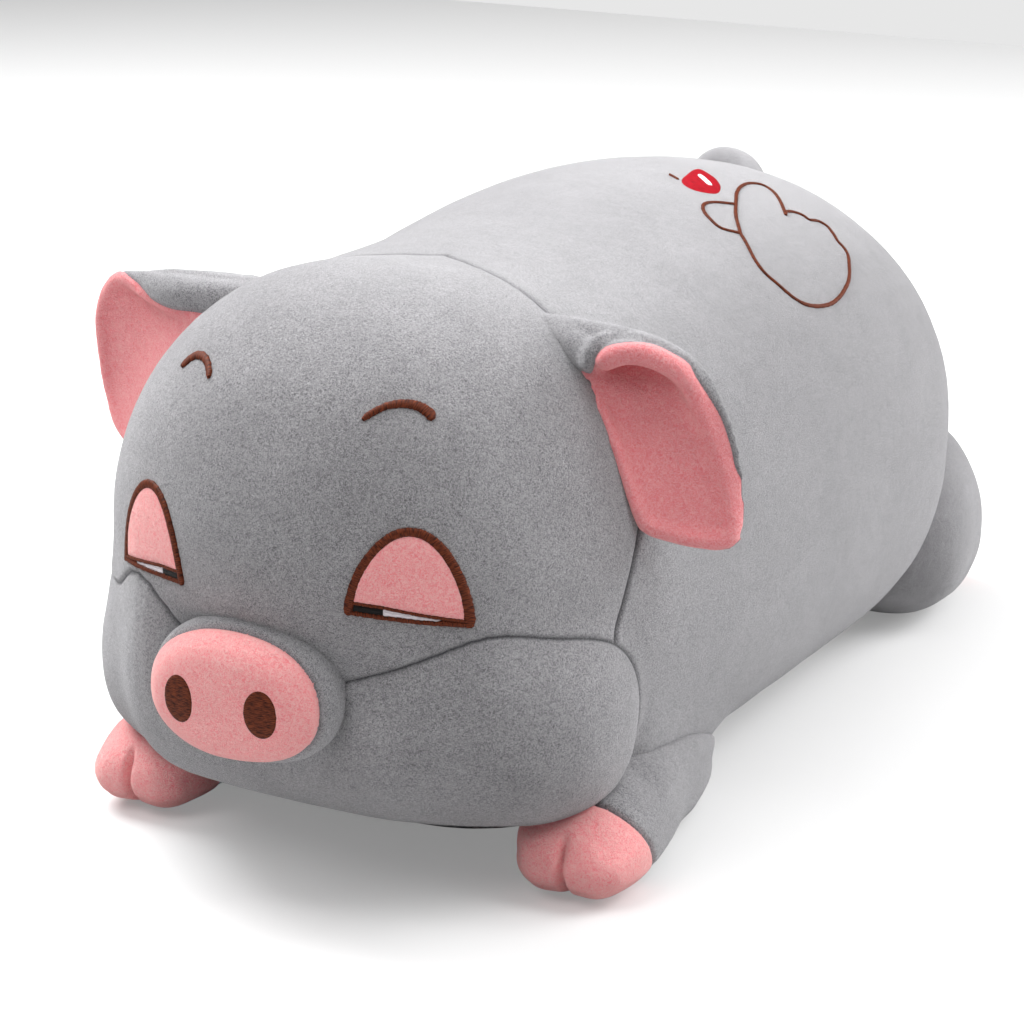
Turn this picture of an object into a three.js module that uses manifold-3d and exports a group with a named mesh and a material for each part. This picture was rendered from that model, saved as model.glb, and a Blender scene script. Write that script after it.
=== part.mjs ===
// A plush pig pillow that lies on its belly: sewn covers, their stuffing, and embroidery.
// Millimetres, +Z up, the face towards -Y, the pig's left side towards +X, the floor at z = 0.
import * as THREE from "three";
import { mergeVertices } from "three/addons/utils/BufferGeometryUtils.js";
import Module from "manifold-3d";

const wasm = await Module();
wasm.setup();

// Driving dimensions
const coverThickness = 3;
const seamGap = 0.3;
const trimThickness = 1.2;
const motionGap = 0.4;

// Sections of the soft forms: [along, half width, top, base, roundness above, roundness below]
const bodySections = [
  [-254, 0, 138, 138, 2.2, 2.2],
  [-246, 44, 176, 104, 2.2, 2.2],
  [-225, 81, 215, 62, 2.2, 2.3],
  [-192, 105, 237, 26, 2.2, 2.4],
  [-147, 120, 244, -0.5, 2.35, 2.8],
  [-92, 128, 238, -0.5, 2.35, 2.8],
  [-32, 134, 239, -0.5, 2.1, 3],
  [58, 139, 242, -0.5, 2.1, 3],
  [138, 138, 235, -0.5, 2.1, 3],
  [193, 126, 216, 3, 2.1, 2.6],
  [236, 84, 169, 38, 2.1, 2.2],
  [250, 0, 108, 108, 2.2, 2.2],
];
// The muzzle runs across the face: [across, half depth, top, base, roundness above, below, depth middle]
const muzzleSections = [
  [-123, 0, 69, 69, 2, 2, -163],
  [-119.5, 20, 91, 47, 2.1, 2.1, -163],
  [-107, 38, 115, 33, 2.2, 2.1, -166],
  [-84, 53, 150, 27, 2.3, 2.1, -172],
  [-54, 66, 159, 25, 2.4, 2.1, -182],
  [0, 64, 128, 24, 2.4, 2.1, -180],
  [48, 64, 133, 25, 2.4, 2.1, -180],
  [82, 53, 145, 27, 2.3, 2.1, -177],
  [106, 38, 117, 32, 2.2, 2.1, -172],
  [120, 21, 97, 46, 2.1, 2.1, -168],
  [124, 0, 72, 72, 2, 2, -167],
];
const snoutMiddle = -4;
const snoutSections = [
  [-271, 0, 95, 95, 2, 2],
  [-268.5, 25, 110.5, 77, 2.1, 2.1],
  [-262, 36, 118, 68, 2.2, 2.2],
  [-252, 41, 122, 64, 2.2, 2.2],
  [-232, 41.5, 123, 62, 2.2, 2.2],
  [-212, 41.5, 123, 62, 2.2, 2.2],
  [-205, 0, 95, 95, 2.2, 2.2],
];
const snoutFaceSeam = -257;

// Each leg lies along the floor from its root to its toes; along is measured from the root
const legFloor = 0.5;
const frontLegSections = [
  [-20, 0, 20, 20, 2.2, 2.2],
  [-12, 15, 33, 4, 2.2, 2.4],
  [12, 21, 38, legFloor, 2.2, 2.6],
  [38, 24, 41, legFloor, 2.2, 2.6],
  [66, 26, 41, legFloor, 2.2, 2.6],
  [92, 27, 38, legFloor, 2.2, 2.5],
  [110, 26, 33, 2, 2.2, 2.3],
  [121, 19.5, 26, 7, 2.2, 2.2],
  [126, 0, 17, 17, 2.2, 2.2],
];
const hindLegSections = [
  [-48, 0, 48, 48, 2.1, 2.1],
  [-36, 32, 86, 10, 2.1, 2.2],
  [-10, 42, 99, legFloor, 2.1, 2.4],
  [14, 42, 90, legFloor, 2.1, 2.4],
  [36, 36, 62, 1, 2.1, 2.3],
  [54, 27, 44, 5, 2.1, 2.2],
  [62, 0, 22, 22, 2.1, 2.1],
];
const frontTrotterSeam = 84;
const hindTrotterSeam = 36;
const trotterLean = 0.45;
const legs = [
  { name: "front_leg_left", root: [105, -74], turn: 2.5, kind: "front" },
  { name: "front_leg_right", root: [-92, -78], turn: -2.5, kind: "front" },
  { name: "hind_leg_left", root: [93, 213], turn: 188, kind: "hind" },
  { name: "hind_leg_right", root: [-93, 213], turn: -188, kind: "hind" },
];

// The neck seam leans forward towards the sides and under the cheeks
const neckTop = -92;
const neckSideLean = 0.64;
const neckSideRelief = 0.0018;
const neckCheekHeight = 150;
const neckCheekLean = 0.45;

// Colours
const greyPlush = new THREE.MeshStandardMaterial({ color: 0x9a9a9f, roughness: 0.95, metalness: 0 });
const pinkPlush = new THREE.MeshStandardMaterial({ color: 0xee9a9a, roughness: 0.9, metalness: 0 });
const brownThread = new THREE.MeshStandardMaterial({ color: 0x5a2a18, roughness: 0.55, metalness: 0 });
const blackThread = new THREE.MeshStandardMaterial({ color: 0x16120f, roughness: 0.5, metalness: 0 });
const whiteThread = new THREE.MeshStandardMaterial({ color: 0xf1efec, roughness: 0.6, metalness: 0 });
const redThread = new THREE.MeshStandardMaterial({ color: 0xd0193c, roughness: 0.55, metalness: 0 });
const whiteFibre = new THREE.MeshStandardMaterial({ color: 0xf4f3f0, roughness: 1, metalness: 0 });

// Solids and meshes
function solidFrom(positions, triangles) {
  const made = new wasm.Manifold(
    new wasm.Mesh({
      numProp: 3,
      vertProperties: Float32Array.from(positions),
      triVerts: Uint32Array.from(triangles),
    }),
  );
  if (made.volume() > 0) return made;
  const turned = [];
  for (let i = 0; i < triangles.length; i += 3) {
    turned.push(triangles[i], triangles[i + 2], triangles[i + 1]);
  }
  return solidFrom(positions, turned);
}

function solidOf(geometry) {
  const bare = geometry.clone();
  bare.deleteAttribute("normal");
  bare.deleteAttribute("uv");
  const merged = mergeVertices(bare, 1e-4);
  return solidFrom(merged.attributes.position.array, merged.index.array);
}

function meshOf(name, solid, material, pivot = new THREE.Vector3()) {
  const data = solid.getMesh();
  const geometry = new THREE.BufferGeometry();
  geometry.setAttribute("position", new THREE.BufferAttribute(data.vertProperties, 3));
  geometry.setIndex(new THREE.BufferAttribute(data.triVerts, 1));
  geometry.translate(-pivot.x, -pivot.y, -pivot.z);
  geometry.computeVertexNormals();
  const mesh = new THREE.Mesh(geometry, material);
  mesh.name = name;
  return mesh;
}

// The largest of the bodies that a cut leaves, without its crumbs
function mainPiece(solid) {
  const pieces = solid.decompose();
  return pieces.reduce((a, b) => (a.volume() > b.volume() ? a : b));
}

// A smooth run of sections through the given ones; a section of no width is a round tip
function smoothSections(sections, steps) {
  const turnedBack = (section) => {
    const [along, half, top, base, ...rest] = section;
    return [along, -half, base, top, ...rest];
  };
  const run = [turnedBack(sections[1]), ...sections, turnedBack(sections.at(-2))];
  const smooth = [];
  for (let i = 1; i < run.length - 2; i += 1) {
    for (let k = 0; k < steps; k += 1) {
      const t = k / steps;
      smooth.push(
        run[i].map((b, j) => {
          const a = run[i - 1][j];
          const c = run[i + 1][j];
          const d = run[i + 2][j];
          const bend = 2 * a - 5 * b + 4 * c - d;
          return 0.5 * (2 * b + (c - a) * t + bend * t * t + (3 * b - a - 3 * c + d) * t ** 3);
        }),
      );
    }
  }
  smooth.push(run.at(-2));
  return smooth;
}

const widestShare = 0.48;
const leastShare = 0.3;
const signedPower = (value, power) => Math.sign(value) * Math.abs(value) ** power;

// A closed form through the sections, grown outwards or shrunk inwards by grow; a small section keeps
// at least its least share when it shrinks
function loft(sections, { around, steps, grow = 0, place }) {
  const rows = smoothSections(sections, steps);
  const start = rows[0][0];
  const end = rows.at(-1)[0];
  const middle = (start + end) / 2;
  const stretch = (end - start + 2 * grow) / (end - start);
  const positions = [];
  const triangles = [];
  rows.forEach(([along, half, top, base, above, below, depth = 0], i) => {
    const at = middle + (along - middle) * stretch;
    if (i === 0 || i === rows.length - 1) {
      positions.push(...place(at, depth, top));
      return;
    }
    const wide = Math.max(half + grow, half * leastShare);
    const thin = Math.min(grow, 0) * 2 + (top - base) > 0 ? grow : -(top - base) * leastShare;
    const high = top + thin;
    const low = base - thin;
    const widest = low + (high - low) * widestShare;
    for (let k = 0; k < around; k += 1) {
      const angle = (2 * Math.PI * k) / around;
      const c = Math.cos(angle);
      const s = Math.sin(angle);
      const power = 2 / (s >= 0 ? above : below);
      const reach = s >= 0 ? high - widest : widest - low;
      const across = depth + wide * signedPower(c, power);
      positions.push(...place(at, across, widest + reach * signedPower(s, power)));
    }
  });
  const ring = (i, k) => 1 + (i - 1) * around + (k % around);
  const lastTip = 1 + (rows.length - 2) * around;
  for (let k = 0; k < around; k += 1) {
    triangles.push(0, ring(1, k), ring(1, k + 1));
    triangles.push(lastTip, ring(rows.length - 2, k + 1), ring(rows.length - 2, k));
    for (let i = 1; i < rows.length - 2; i += 1) {
      triangles.push(ring(i, k), ring(i + 1, k), ring(i + 1, k + 1));
      triangles.push(ring(i, k), ring(i + 1, k + 1), ring(i, k + 1));
    }
  }
  return solidFrom(positions, triangles);
}

// A closed slab between two grids of points, front(u, v) and back(u, v), for u and v from 0 to 1
function slab(front, back, across, down) {
  const positions = [];
  const triangles = [];
  for (const side of [front, back]) {
    for (let i = 0; i <= across; i += 1) {
      for (let j = 0; j <= down; j += 1) {
        positions.push(...side(i / across, j / down));
      }
    }
  }
  const count = (across + 1) * (down + 1);
  const at = (i, j) => i * (down + 1) + j;
  const quad = (a, b, c, d) => triangles.push(a, b, c, a, c, d);
  for (let i = 0; i < across; i += 1) {
    for (let j = 0; j < down; j += 1) {
      quad(at(i, j), at(i + 1, j), at(i + 1, j + 1), at(i, j + 1));
      quad(count + at(i, j), count + at(i, j + 1), count + at(i + 1, j + 1), count + at(i + 1, j));
    }
    quad(at(i, 0), count + at(i, 0), count + at(i + 1, 0), at(i + 1, 0));
    quad(at(i + 1, down), count + at(i + 1, down), count + at(i, down), at(i, down));
  }
  for (let j = 0; j < down; j += 1) {
    quad(at(0, j + 1), count + at(0, j + 1), count + at(0, j), at(0, j));
    quad(at(across, j), count + at(across, j), count + at(across, j + 1), at(across, j + 1));
  }
  return solidFrom(positions, triangles);
}

function box(low, high) {
  const size = new THREE.Vector3().subVectors(high, low);
  const geometry = new THREE.BoxGeometry(size.x, size.y, size.z);
  geometry.translate((low.x + high.x) / 2, (low.y + high.y) / 2, (low.z + high.z) / 2);
  return solidOf(geometry);
}

// The solid turned about an axis through a point, by an angle in degrees
function turned(solid, point, axis, degrees) {
  const matrix = new THREE.Matrix4().makeTranslation(point.x, point.y, point.z);
  matrix.multiply(new THREE.Matrix4().makeRotationAxis(axis, THREE.MathUtils.degToRad(degrees)));
  matrix.multiply(new THREE.Matrix4().makeTranslation(-point.x, -point.y, -point.z));
  return solid.transform(matrix.elements);
}

// What is left of a moving piece once the fixed solid has passed it at each angle of its range
function clearOf(piece, fixed, hinge) {
  let left = piece;
  for (const degrees of hinge.angles) {
    left = left.subtract(turned(fixed, hinge.point, hinge.axis, -degrees));
  }
  return mainPiece(left);
}

// Body, muzzle and snout
const spread = 340;
const blockDepth = 60;
const belowAt = (height) =>
  box(new THREE.Vector3(-spread, -spread, -blockDepth), new THREE.Vector3(spread, spread, height));
const floorBlock = belowAt(0);
const alongY = (along, across, up) => [across, along, up];
const alongX = (along, across, up) => [along, across, up];

// How many facets lie around each form and between its sections, outside and inside
const bodyFacets = { outside: { around: 28, steps: 2 }, inside: { around: 16, steps: 1 } };
const muzzleFacets = { outside: { around: 18, steps: 2 }, inside: { around: 12, steps: 1 } };
const snoutFacets = { outside: { around: 18, steps: 1 }, inside: { around: 10, steps: 1 } };
const legFacets = { outside: { around: 16, steps: 1 }, inside: { around: 10, steps: 1 } };
const earFacets = { along: 8, across: 4 };
const neckFacets = { across: 8, up: 6 };
const tailFacets = { around: 8, steps: 9 };
const facetsOf = (counts, fine) => (fine ? counts.outside : counts.inside);

const bodyForm = (grow, fine) =>
  loft(bodySections, { ...facetsOf(bodyFacets, fine), grow, place: alongY });
const muzzleForm = (grow, fine) =>
  loft(muzzleSections, { ...facetsOf(muzzleFacets, fine), grow, place: alongX });
const snoutForm = (grow, fine) =>
  loft(snoutSections, {
    ...facetsOf(snoutFacets, fine),
    grow,
    place: (along, across, up) => [snoutMiddle + across, along, up],
  });

function neckSeam(x, z) {
  const side = Math.abs(x);
  const cheek = Math.max(0, neckCheekHeight - z);
  return neckTop - neckSideLean * side + neckSideRelief * side * side - neckCheekLean * cheek;
}

const neckReach = { half: 165, low: -20, high: 270 };

function aheadOfNeck(shift) {
  const { half, low, high } = neckReach;
  const front = (u, v) => [-half + 2 * half * u, -spread, low + (high - low) * v];
  const back = (u, v) => {
    const x = -half + 2 * half * u;
    const z = low + (high - low) * v;
    return [x, neckSeam(x, z) + shift, z];
  };
  return slab(front, back, neckFacets.across, neckFacets.up);
}

const outerForm = bodyForm(0, true).add(muzzleForm(0, true));
const innerForm = bodyForm(-coverThickness, false).add(muzzleForm(-coverThickness, false));
const skin = outerForm.subtract(innerForm).subtract(floorBlock);
const muzzleOutside = muzzleForm(seamGap, true);
const torsoCover = mainPiece(skin.subtract(aheadOfNeck(seamGap)).subtract(muzzleOutside));
const headCover = mainPiece(skin.intersect(aheadOfNeck(0)).subtract(muzzleOutside));
const muzzleCover = mainPiece(skin.intersect(muzzleForm(0, true)));
const stuffingDepth = coverThickness + seamGap;
const stuffing = bodyForm(-stuffingDepth, false).add(muzzleForm(-stuffingDepth, false));

// What the sewn-on pieces stand against, a little larger than the skin
const clearForm = bodyForm(motionGap, true).add(muzzleForm(motionGap, true));

const snoutShell = snoutForm(0, true).subtract(snoutForm(-coverThickness, false)).subtract(clearForm);
const aheadOf = (y) =>
  box(new THREE.Vector3(-spread, -spread, -blockDepth), new THREE.Vector3(spread, y, spread));
const snoutFace = mainPiece(snoutShell.intersect(aheadOf(snoutFaceSeam)));
const snoutBand = mainPiece(snoutShell.subtract(aheadOf(snoutFaceSeam + seamGap)));
const snoutStuffing = mainPiece(snoutForm(-stuffingDepth, false).subtract(clearForm));

const pig = new THREE.Group();
pig.add(meshOf("torso_cover", torsoCover, greyPlush));
pig.add(meshOf("head_cover", headCover, greyPlush));
pig.add(meshOf("muzzle_cover", muzzleCover, greyPlush));
pig.add(meshOf("body_stuffing", stuffing, whiteFibre));
pig.add(meshOf("snout_band", snoutBand, greyPlush));
pig.add(meshOf("snout_face", snoutFace, pinkPlush));
pig.add(meshOf("snout_stuffing", snoutStuffing, whiteFibre));

// A flat outline carried as a prism along the sight line of one who looks straight at it
function prism(shape, depth, origin, sight, up) {
  const geometry = new THREE.ExtrudeGeometry(shape, {
    depth,
    bevelEnabled: false,
    curveSegments: roundSegments,
  });
  const back = sight.clone().negate();
  const right = new THREE.Vector3().crossVectors(up, back).normalize();
  const above = new THREE.Vector3().crossVectors(back, right);
  const matrix = new THREE.Matrix4().makeBasis(right, above, back);
  matrix.setPosition(origin);
  geometry.applyMatrix4(matrix);
  return solidOf(geometry);
}

// Eyes, sewn on the face: across and up are measured from the middle of each eye's lower edge
const eyeHalfWidth = 22;
const eyeHeight = 38;
const eyeLean = 0.05;
const borderWidth = 3.4;
const footBorder = 1.7;
const slitHeight = 4.6;
const slitEndHeight = 2.6;
const slitEnd = 11;
const slitSplit = -7.8;
const lashWidth = 1.3;
const arch = 1.25;
const archSteps = 16;
const roundSegments = 8;
const faceSight = new THREE.Vector3(0, 1, 0);
const skyward = new THREE.Vector3(0, 0, 1);
const faceStart = -300;
const faceDepth = 140;
const trimBand = bodyForm(seamGap + trimThickness, true).subtract(bodyForm(seamGap, true));

// An outline across the eye, leaned and mirrored for the right eye, still anticlockwise
function eyePrism(points, { side, eyeMiddle, eyeFoot, eyeTilt }) {
  const placed = points.map(([across, up]) => {
    const out = eyeMiddle + across + eyeLean * up;
    return new THREE.Vector2(side * out, eyeFoot + up + eyeTilt * across);
  });
  const shape = new THREE.Shape(side < 0 ? placed.reverse() : placed);
  return prism(shape, faceDepth, new THREE.Vector3(0, faceStart + faceDepth, 0), faceSight, skyward);
}

// An arched window with a flat foot, drawn in by inset at the arch and by footInset below
function archPoints(inset, footInset) {
  const half = eyeHalfWidth - inset;
  const rise = eyeHeight - inset - footInset;
  return Array.from({ length: archSteps + 1 }, (_, k) => {
    const angle = (Math.PI * k) / archSteps;
    return [half * Math.cos(angle), footInset + rise * signedPower(Math.sin(angle), arch)];
  });
}

// The slit's upper edge runs level over the black thread and then comes down over the white
function slitEdge(across) {
  const fall = (slitHeight - slitEndHeight) / (slitEnd - slitSplit);
  return slitHeight - fall * Math.max(0, across - slitSplit);
}

// The band of the eye between two heights over the slit's upper edge, from one side to the other
function slitBand(from, to, lowShift, highShift) {
  const bends = [from, slitSplit, to].filter((across) => across >= from && across <= to);
  const stops = [...new Set(bends)];
  return [
    ...stops.map((across) => [across, slitEdge(across) + lowShift]),
    ...stops.reverse().map((across) => [across, slitEdge(across) + highShift]),
  ];
}

function addEye(sideName, face) {
  const whole = eyePrism(archPoints(0, 0), face);
  const window = eyePrism(archPoints(borderWidth, footBorder), face);
  const lining = eyePrism(archPoints(borderWidth + seamGap, footBorder + seamGap), face);
  const far = 2 * eyeHalfWidth;
  const overLash = (extra) => eyePrism(slitBand(-far, far, lashWidth + extra, eyeHeight * 2), face);
  const underLash = (from, to, extra) => eyePrism(slitBand(from, to, -eyeHeight, -extra), face);
  const lidWindow = window.intersect(overLash(0));
  const slitWindow = window.intersect(underLash(-far, slitEnd, 0));
  const border = whole.subtract(lidWindow).subtract(slitWindow);
  const black = lining.intersect(underLash(-far, slitSplit, seamGap));
  const white = lining.intersect(underLash(slitSplit + seamGap, slitEnd - seamGap, seamGap));
  const sewn = (solid) => mainPiece(trimBand.intersect(solid));
  pig.add(meshOf(`eye_border_${sideName}`, sewn(border), brownThread));
  pig.add(meshOf(`eyelid_${sideName}`, sewn(lining.intersect(overLash(seamGap))), pinkPlush));
  pig.add(meshOf(`eye_black_${sideName}`, sewn(black), blackThread));
  pig.add(meshOf(`eye_white_${sideName}`, sewn(white), whiteThread));
}

// A brow is a short arc of thread over each eye, as wide as two half widths and as high as its rise
const browRise = 5.6;
const browWidth = 2.6;
const browSteps = 10;

function addBrow(sideName, { side, browMiddle, browHalf, browFoot }) {
  const radius = (browHalf ** 2 + browRise ** 2) / (2 * browRise);
  const halfTurn = Math.asin(browHalf / radius);
  const outline = [];
  for (const [reach, way] of [[browWidth / 2, 1], [-browWidth / 2, -1]]) {
    for (let k = 0; k <= browSteps; k += 1) {
      const turn = halfTurn * way * (1 - (2 * k) / browSteps);
      const across = (radius + reach) * Math.sin(turn);
      const up = browRise - radius + (radius + reach) * Math.cos(turn);
      outline.push(new THREE.Vector2(side * (browMiddle + across), browFoot + up));
    }
  }
  const shape = new THREE.Shape(side < 0 ? outline.reverse() : outline);
  const origin = new THREE.Vector3(0, faceStart + faceDepth, 0);
  const cut = trimBand.intersect(prism(shape, faceDepth, origin, faceSight, skyward));
  pig.add(meshOf(`brow_${sideName}`, mainPiece(cut), brownThread));
}

// Nostrils, upright ovals of thread on the end of the snout
const nostrilSpread = 19;
const nostrilHeight = 92;
const nostrilHalfWidth = 7;
const nostrilHalfHeight = 10;
const nostrilReach = 40;
const snoutBandOut = snoutForm(seamGap + trimThickness, true).subtract(snoutForm(seamGap, true));

function addNostril(sideName, side) {
  const shape = new THREE.Shape();
  shape.absellipse(
    snoutMiddle + side * nostrilSpread, nostrilHeight, nostrilHalfWidth, nostrilHalfHeight, 0, 2 * Math.PI,
  );
  const origin = new THREE.Vector3(0, snoutFaceSeam, 0);
  const cut = snoutBandOut.intersect(prism(shape, nostrilReach, origin, faceSight, skyward));
  pig.add(meshOf(`nostril_${sideName}`, mainPiece(cut), brownThread));
}

// The two halves of the face differ a little, as they do on the hand-sewn one
const faceSides = [
  {
    name: "left", side: 1, eyeMiddle: 60, eyeFoot: 127.5, eyeTilt: -0.14,
    browMiddle: 50, browHalf: 12, browFoot: 204,
  },
  {
    name: "right", side: -1, eyeMiddle: 53, eyeFoot: 128.5, eyeTilt: -0.02,
    browMiddle: 45.5, browHalf: 9.5, browFoot: 207.5,
  },
];
for (const face of faceSides) {
  addEye(face.name, face);
  addBrow(face.name, face);
  addNostril(face.name, face.side);
}

// Embroidery on the back: a line drawing of a hand that makes a little heart, and the heart
const backPatch = new THREE.Vector3(80, 85, 226);
const backTilt = new THREE.Vector3(0.42, 0, 0.9075);
const backUp = new THREE.Vector3(-0.9075, 0, 0.42);
const patchReach = 40;
const lineWidth = 2.2;
const handStrokes = [
  [
    [-32, 8], [-17, 18], [2, 27], [15, 32], [27, 34.5], [37, 34.5], [44, 31], [42, 24.5], [33, 16.5],
    [18, 6.5],
  ],
  [[18, 6.5], [23, 8.5], [29, 7], [33, 3.5], [33, -0.5]],
  [[33, -0.5], [40, -2.5], [43, -6.5], [41, -11], [36.5, -16.5]],
  [
    [36.5, -16.5], [35.5, -22], [29.5, -27.5], [11, -36.5], [-16, -40.5], [-38, -34.5], [-45.5, -20],
    [-45, -9], [-32, 8],
  ],
  [[-32, 8], [-38.5, 16], [-33, 26.5], [-24, 32], [-15, 30.5], [-4.5, 24]],
];
const heartOutline = [
  [2, 52.5], [16, 57.5], [31, 60.5], [36, 59.5], [31.5, 54.5], [27, 49.5], [21, 44], [14, 39.5], [3, 35.5],
  [-3, 36.5], [-7.5, 43], [-6.5, 48.5],
];
const barEnds = [[18.5, 53], [6.5, 42]];
const barWidth = 4.4;

function sewnOnBack(shapes) {
  const origin = backPatch.clone().addScaledVector(backTilt, -patchReach);
  const sight = backTilt.clone().negate();
  const prisms = shapes.map((shape) => prism(shape, 2 * patchReach, origin, sight, backUp));
  return mainPiece(trimBand.intersect(prisms.reduce((a, b) => a.add(b))));
}

// An outline that runs along a smooth stroke, as wide as the thread line
function strokeShape(stroke) {
  const curve = new THREE.CatmullRomCurve3(stroke.map(([x, y]) => new THREE.Vector3(x, y, 0)));
  const steps = 2 * (stroke.length - 1);
  const sides = [[], []];
  for (let i = 0; i <= steps; i += 1) {
    const at = curve.getPoint(i / steps);
    const way = curve.getTangent(i / steps);
    sides[0].push(new THREE.Vector2(at.x + (way.y * lineWidth) / 2, at.y - (way.x * lineWidth) / 2));
    sides[1].unshift(new THREE.Vector2(at.x - (way.y * lineWidth) / 2, at.y + (way.x * lineWidth) / 2));
  }
  return new THREE.Shape([...sides[0], ...sides[1]]);
}

// A plump heart, seen askew from its notch, with a short bar of light thread let into it
function heartShape() {
  const points = heartOutline.map(([x, y]) => new THREE.Vector3(x, y, 0));
  const curve = new THREE.CatmullRomCurve3(points, true);
  const outline = curve.getPoints(2 * points.length).reverse();
  return new THREE.Shape(outline.map(({ x, y }) => new THREE.Vector2(x, y)));
}

// A short bar between its two ends, made smaller all round by inset
function barShape(inset) {
  const [start, end] = barEnds.map(([x, y]) => new THREE.Vector2(x, y));
  const way = new THREE.Vector2().subVectors(end, start).normalize();
  const half = barWidth / 2 - inset;
  const aside = new THREE.Vector2(-way.y, way.x).multiplyScalar(half);
  const first = start.clone().addScaledVector(way, inset);
  const last = end.clone().addScaledVector(way, -inset);
  return new THREE.Shape([
    first.clone().add(aside),
    first.clone().sub(aside),
    last.clone().sub(aside),
    last.clone().add(aside),
  ]);
}

const heartWithWindow = heartShape();
heartWithWindow.holes.push(new THREE.Path(barShape(0).getPoints()));
pig.add(meshOf("hand_outline", sewnOnBack(handStrokes.map(strokeShape)), brownThread));
pig.add(meshOf("heart_red", sewnOnBack([heartWithWindow]), redThread));
pig.add(meshOf("heart_highlight", sewnOnBack([barShape(seamGap)]), whiteThread));

// Ears: a grey back and a pink lining that lies on it, sewn to the head beside the neck seam. The root
// bows forward between its two ends, and the ear flattens from there to its rim
const earRootTop = new THREE.Vector3(66, -125, 226);
const earRootFoot = new THREE.Vector3(116, -144, 154);
const leftEarRim = [
  new THREE.Vector3(78, -126, 226),
  new THREE.Vector3(108, -128, 225),
  new THREE.Vector3(134, -128, 217),
  new THREE.Vector3(149, -127, 196),
  new THREE.Vector3(155, -126, 171),
  new THREE.Vector3(157, -127, 148),
  new THREE.Vector3(152, -130, 139),
  new THREE.Vector3(136, -136, 140),
  new THREE.Vector3(122, -141, 143),
];
// The right ear hangs with its lower corner drawn in; its points are mirrored too
const rightEarRim = [
  new THREE.Vector3(78, -126, 226),
  new THREE.Vector3(108, -128, 226),
  new THREE.Vector3(138, -128, 221),
  new THREE.Vector3(154, -127, 205),
  new THREE.Vector3(157, -126, 186),
  new THREE.Vector3(154, -127, 167),
  new THREE.Vector3(147, -131, 151),
  new THREE.Vector3(134, -136, 144),
  new THREE.Vector3(122, -141, 145),
];
const earHollow = -1;
const earRootBow = 11;
const earBackThickness = 3.4;
const earLiningThickness = 2.6;
const earLiningInset = 0.06;
const earRange = 30;
const earEdgeShare = 0.45;
const earThickFrom = 0.15;
const earThickTo = 0.85;

// A point of an ear on the left side: u runs down the root and the rim, v from the root to the rim
function earPoint(rimCurve, u, v) {
  const root = new THREE.Vector3().lerpVectors(earRootTop, earRootFoot, u);
  const rim = rimCurve.getPointAt(u);
  const point = new THREE.Vector3().lerpVectors(root, rim, v);
  const middling = Math.sin(Math.PI * u);
  point.y += middling * (earHollow * Math.sin(Math.PI * v) - earRootBow * (1 - v) ** 2);
  return point;
}

// A puffed layer of the ear, ahead of its middle surface or behind it
function earLayer(rimCurve, side, ahead, behind, inset) {
  const inside = (t) => inset + (1 - 2 * inset) * t;
  const puff = (u, v) => {
    const thickAt = earThickFrom + (earThickTo - earThickFrom) * v;
    const middling = Math.sin(Math.PI * u) * Math.sin(Math.PI * thickAt);
    return earEdgeShare + (1 - earEdgeShare) * middling;
  };
  const face = (reach) => (u, v) => {
    const p = earPoint(rimCurve, inside(u), inside(v));
    return [side * p.x, p.y + reach * puff(u, v), p.z];
  };
  return slab(face(-ahead), face(behind), earFacets.along, earFacets.across);
}

function hingeGroup(hinge) {
  const group = new THREE.Group();
  group.position.copy(hinge.point);
  pig.add(group);
  return group;
}

function addEar(sideName, side, rim) {
  const rimCurve = new THREE.CatmullRomCurve3(rim);
  const mirror = (p) => new THREE.Vector3(side * p.x, p.y, p.z);
  const top = mirror(earRootTop);
  const foot = mirror(earRootFoot);
  const hinge = {
    point: new THREE.Vector3().addVectors(top, foot).multiplyScalar(0.5),
    axis: new THREE.Vector3().subVectors(foot, top).normalize(),
    angles: [0, -earRange, -earRange / 2, earRange / 2, earRange],
  };
  const backLayer = earLayer(rimCurve, side, 0, earBackThickness, 0);
  const frontLayer = earLayer(rimCurve, side, earLiningThickness, earBackThickness / 2, earLiningInset);
  const backing = clearOf(backLayer, clearForm, hinge);
  const backRoom = backLayer.add(backLayer.translate([0, -seamGap, 0]));
  const lining = clearOf(frontLayer.subtract(backRoom), clearForm, hinge);
  const group = hingeGroup(hinge);
  group.add(meshOf(`ear_back_${sideName}`, backing, greyPlush, hinge.point));
  group.add(meshOf(`ear_lining_${sideName}`, lining, pinkPlush, hinge.point));
}
addEar("left", 1, leftEarRim);
addEar("right", -1, rightEarRim);

// Legs: a grey cover, a pink trotter and their stuffing, turned outwards about the root
const legRange = 20;
const legReach = 60;

// A block across a leg, from one distance along it to another; its first face leans towards the toes
function blockAcross(from, to, place) {
  const corner = (along, lean) => (u, v) => {
    const up = legReach * (4 * v - 1);
    return place(along + lean * up, legReach * (2 * u - 1), up);
  };
  return slab(corner(from, trotterLean), corner(to, 0), 1, 1);
}

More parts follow.
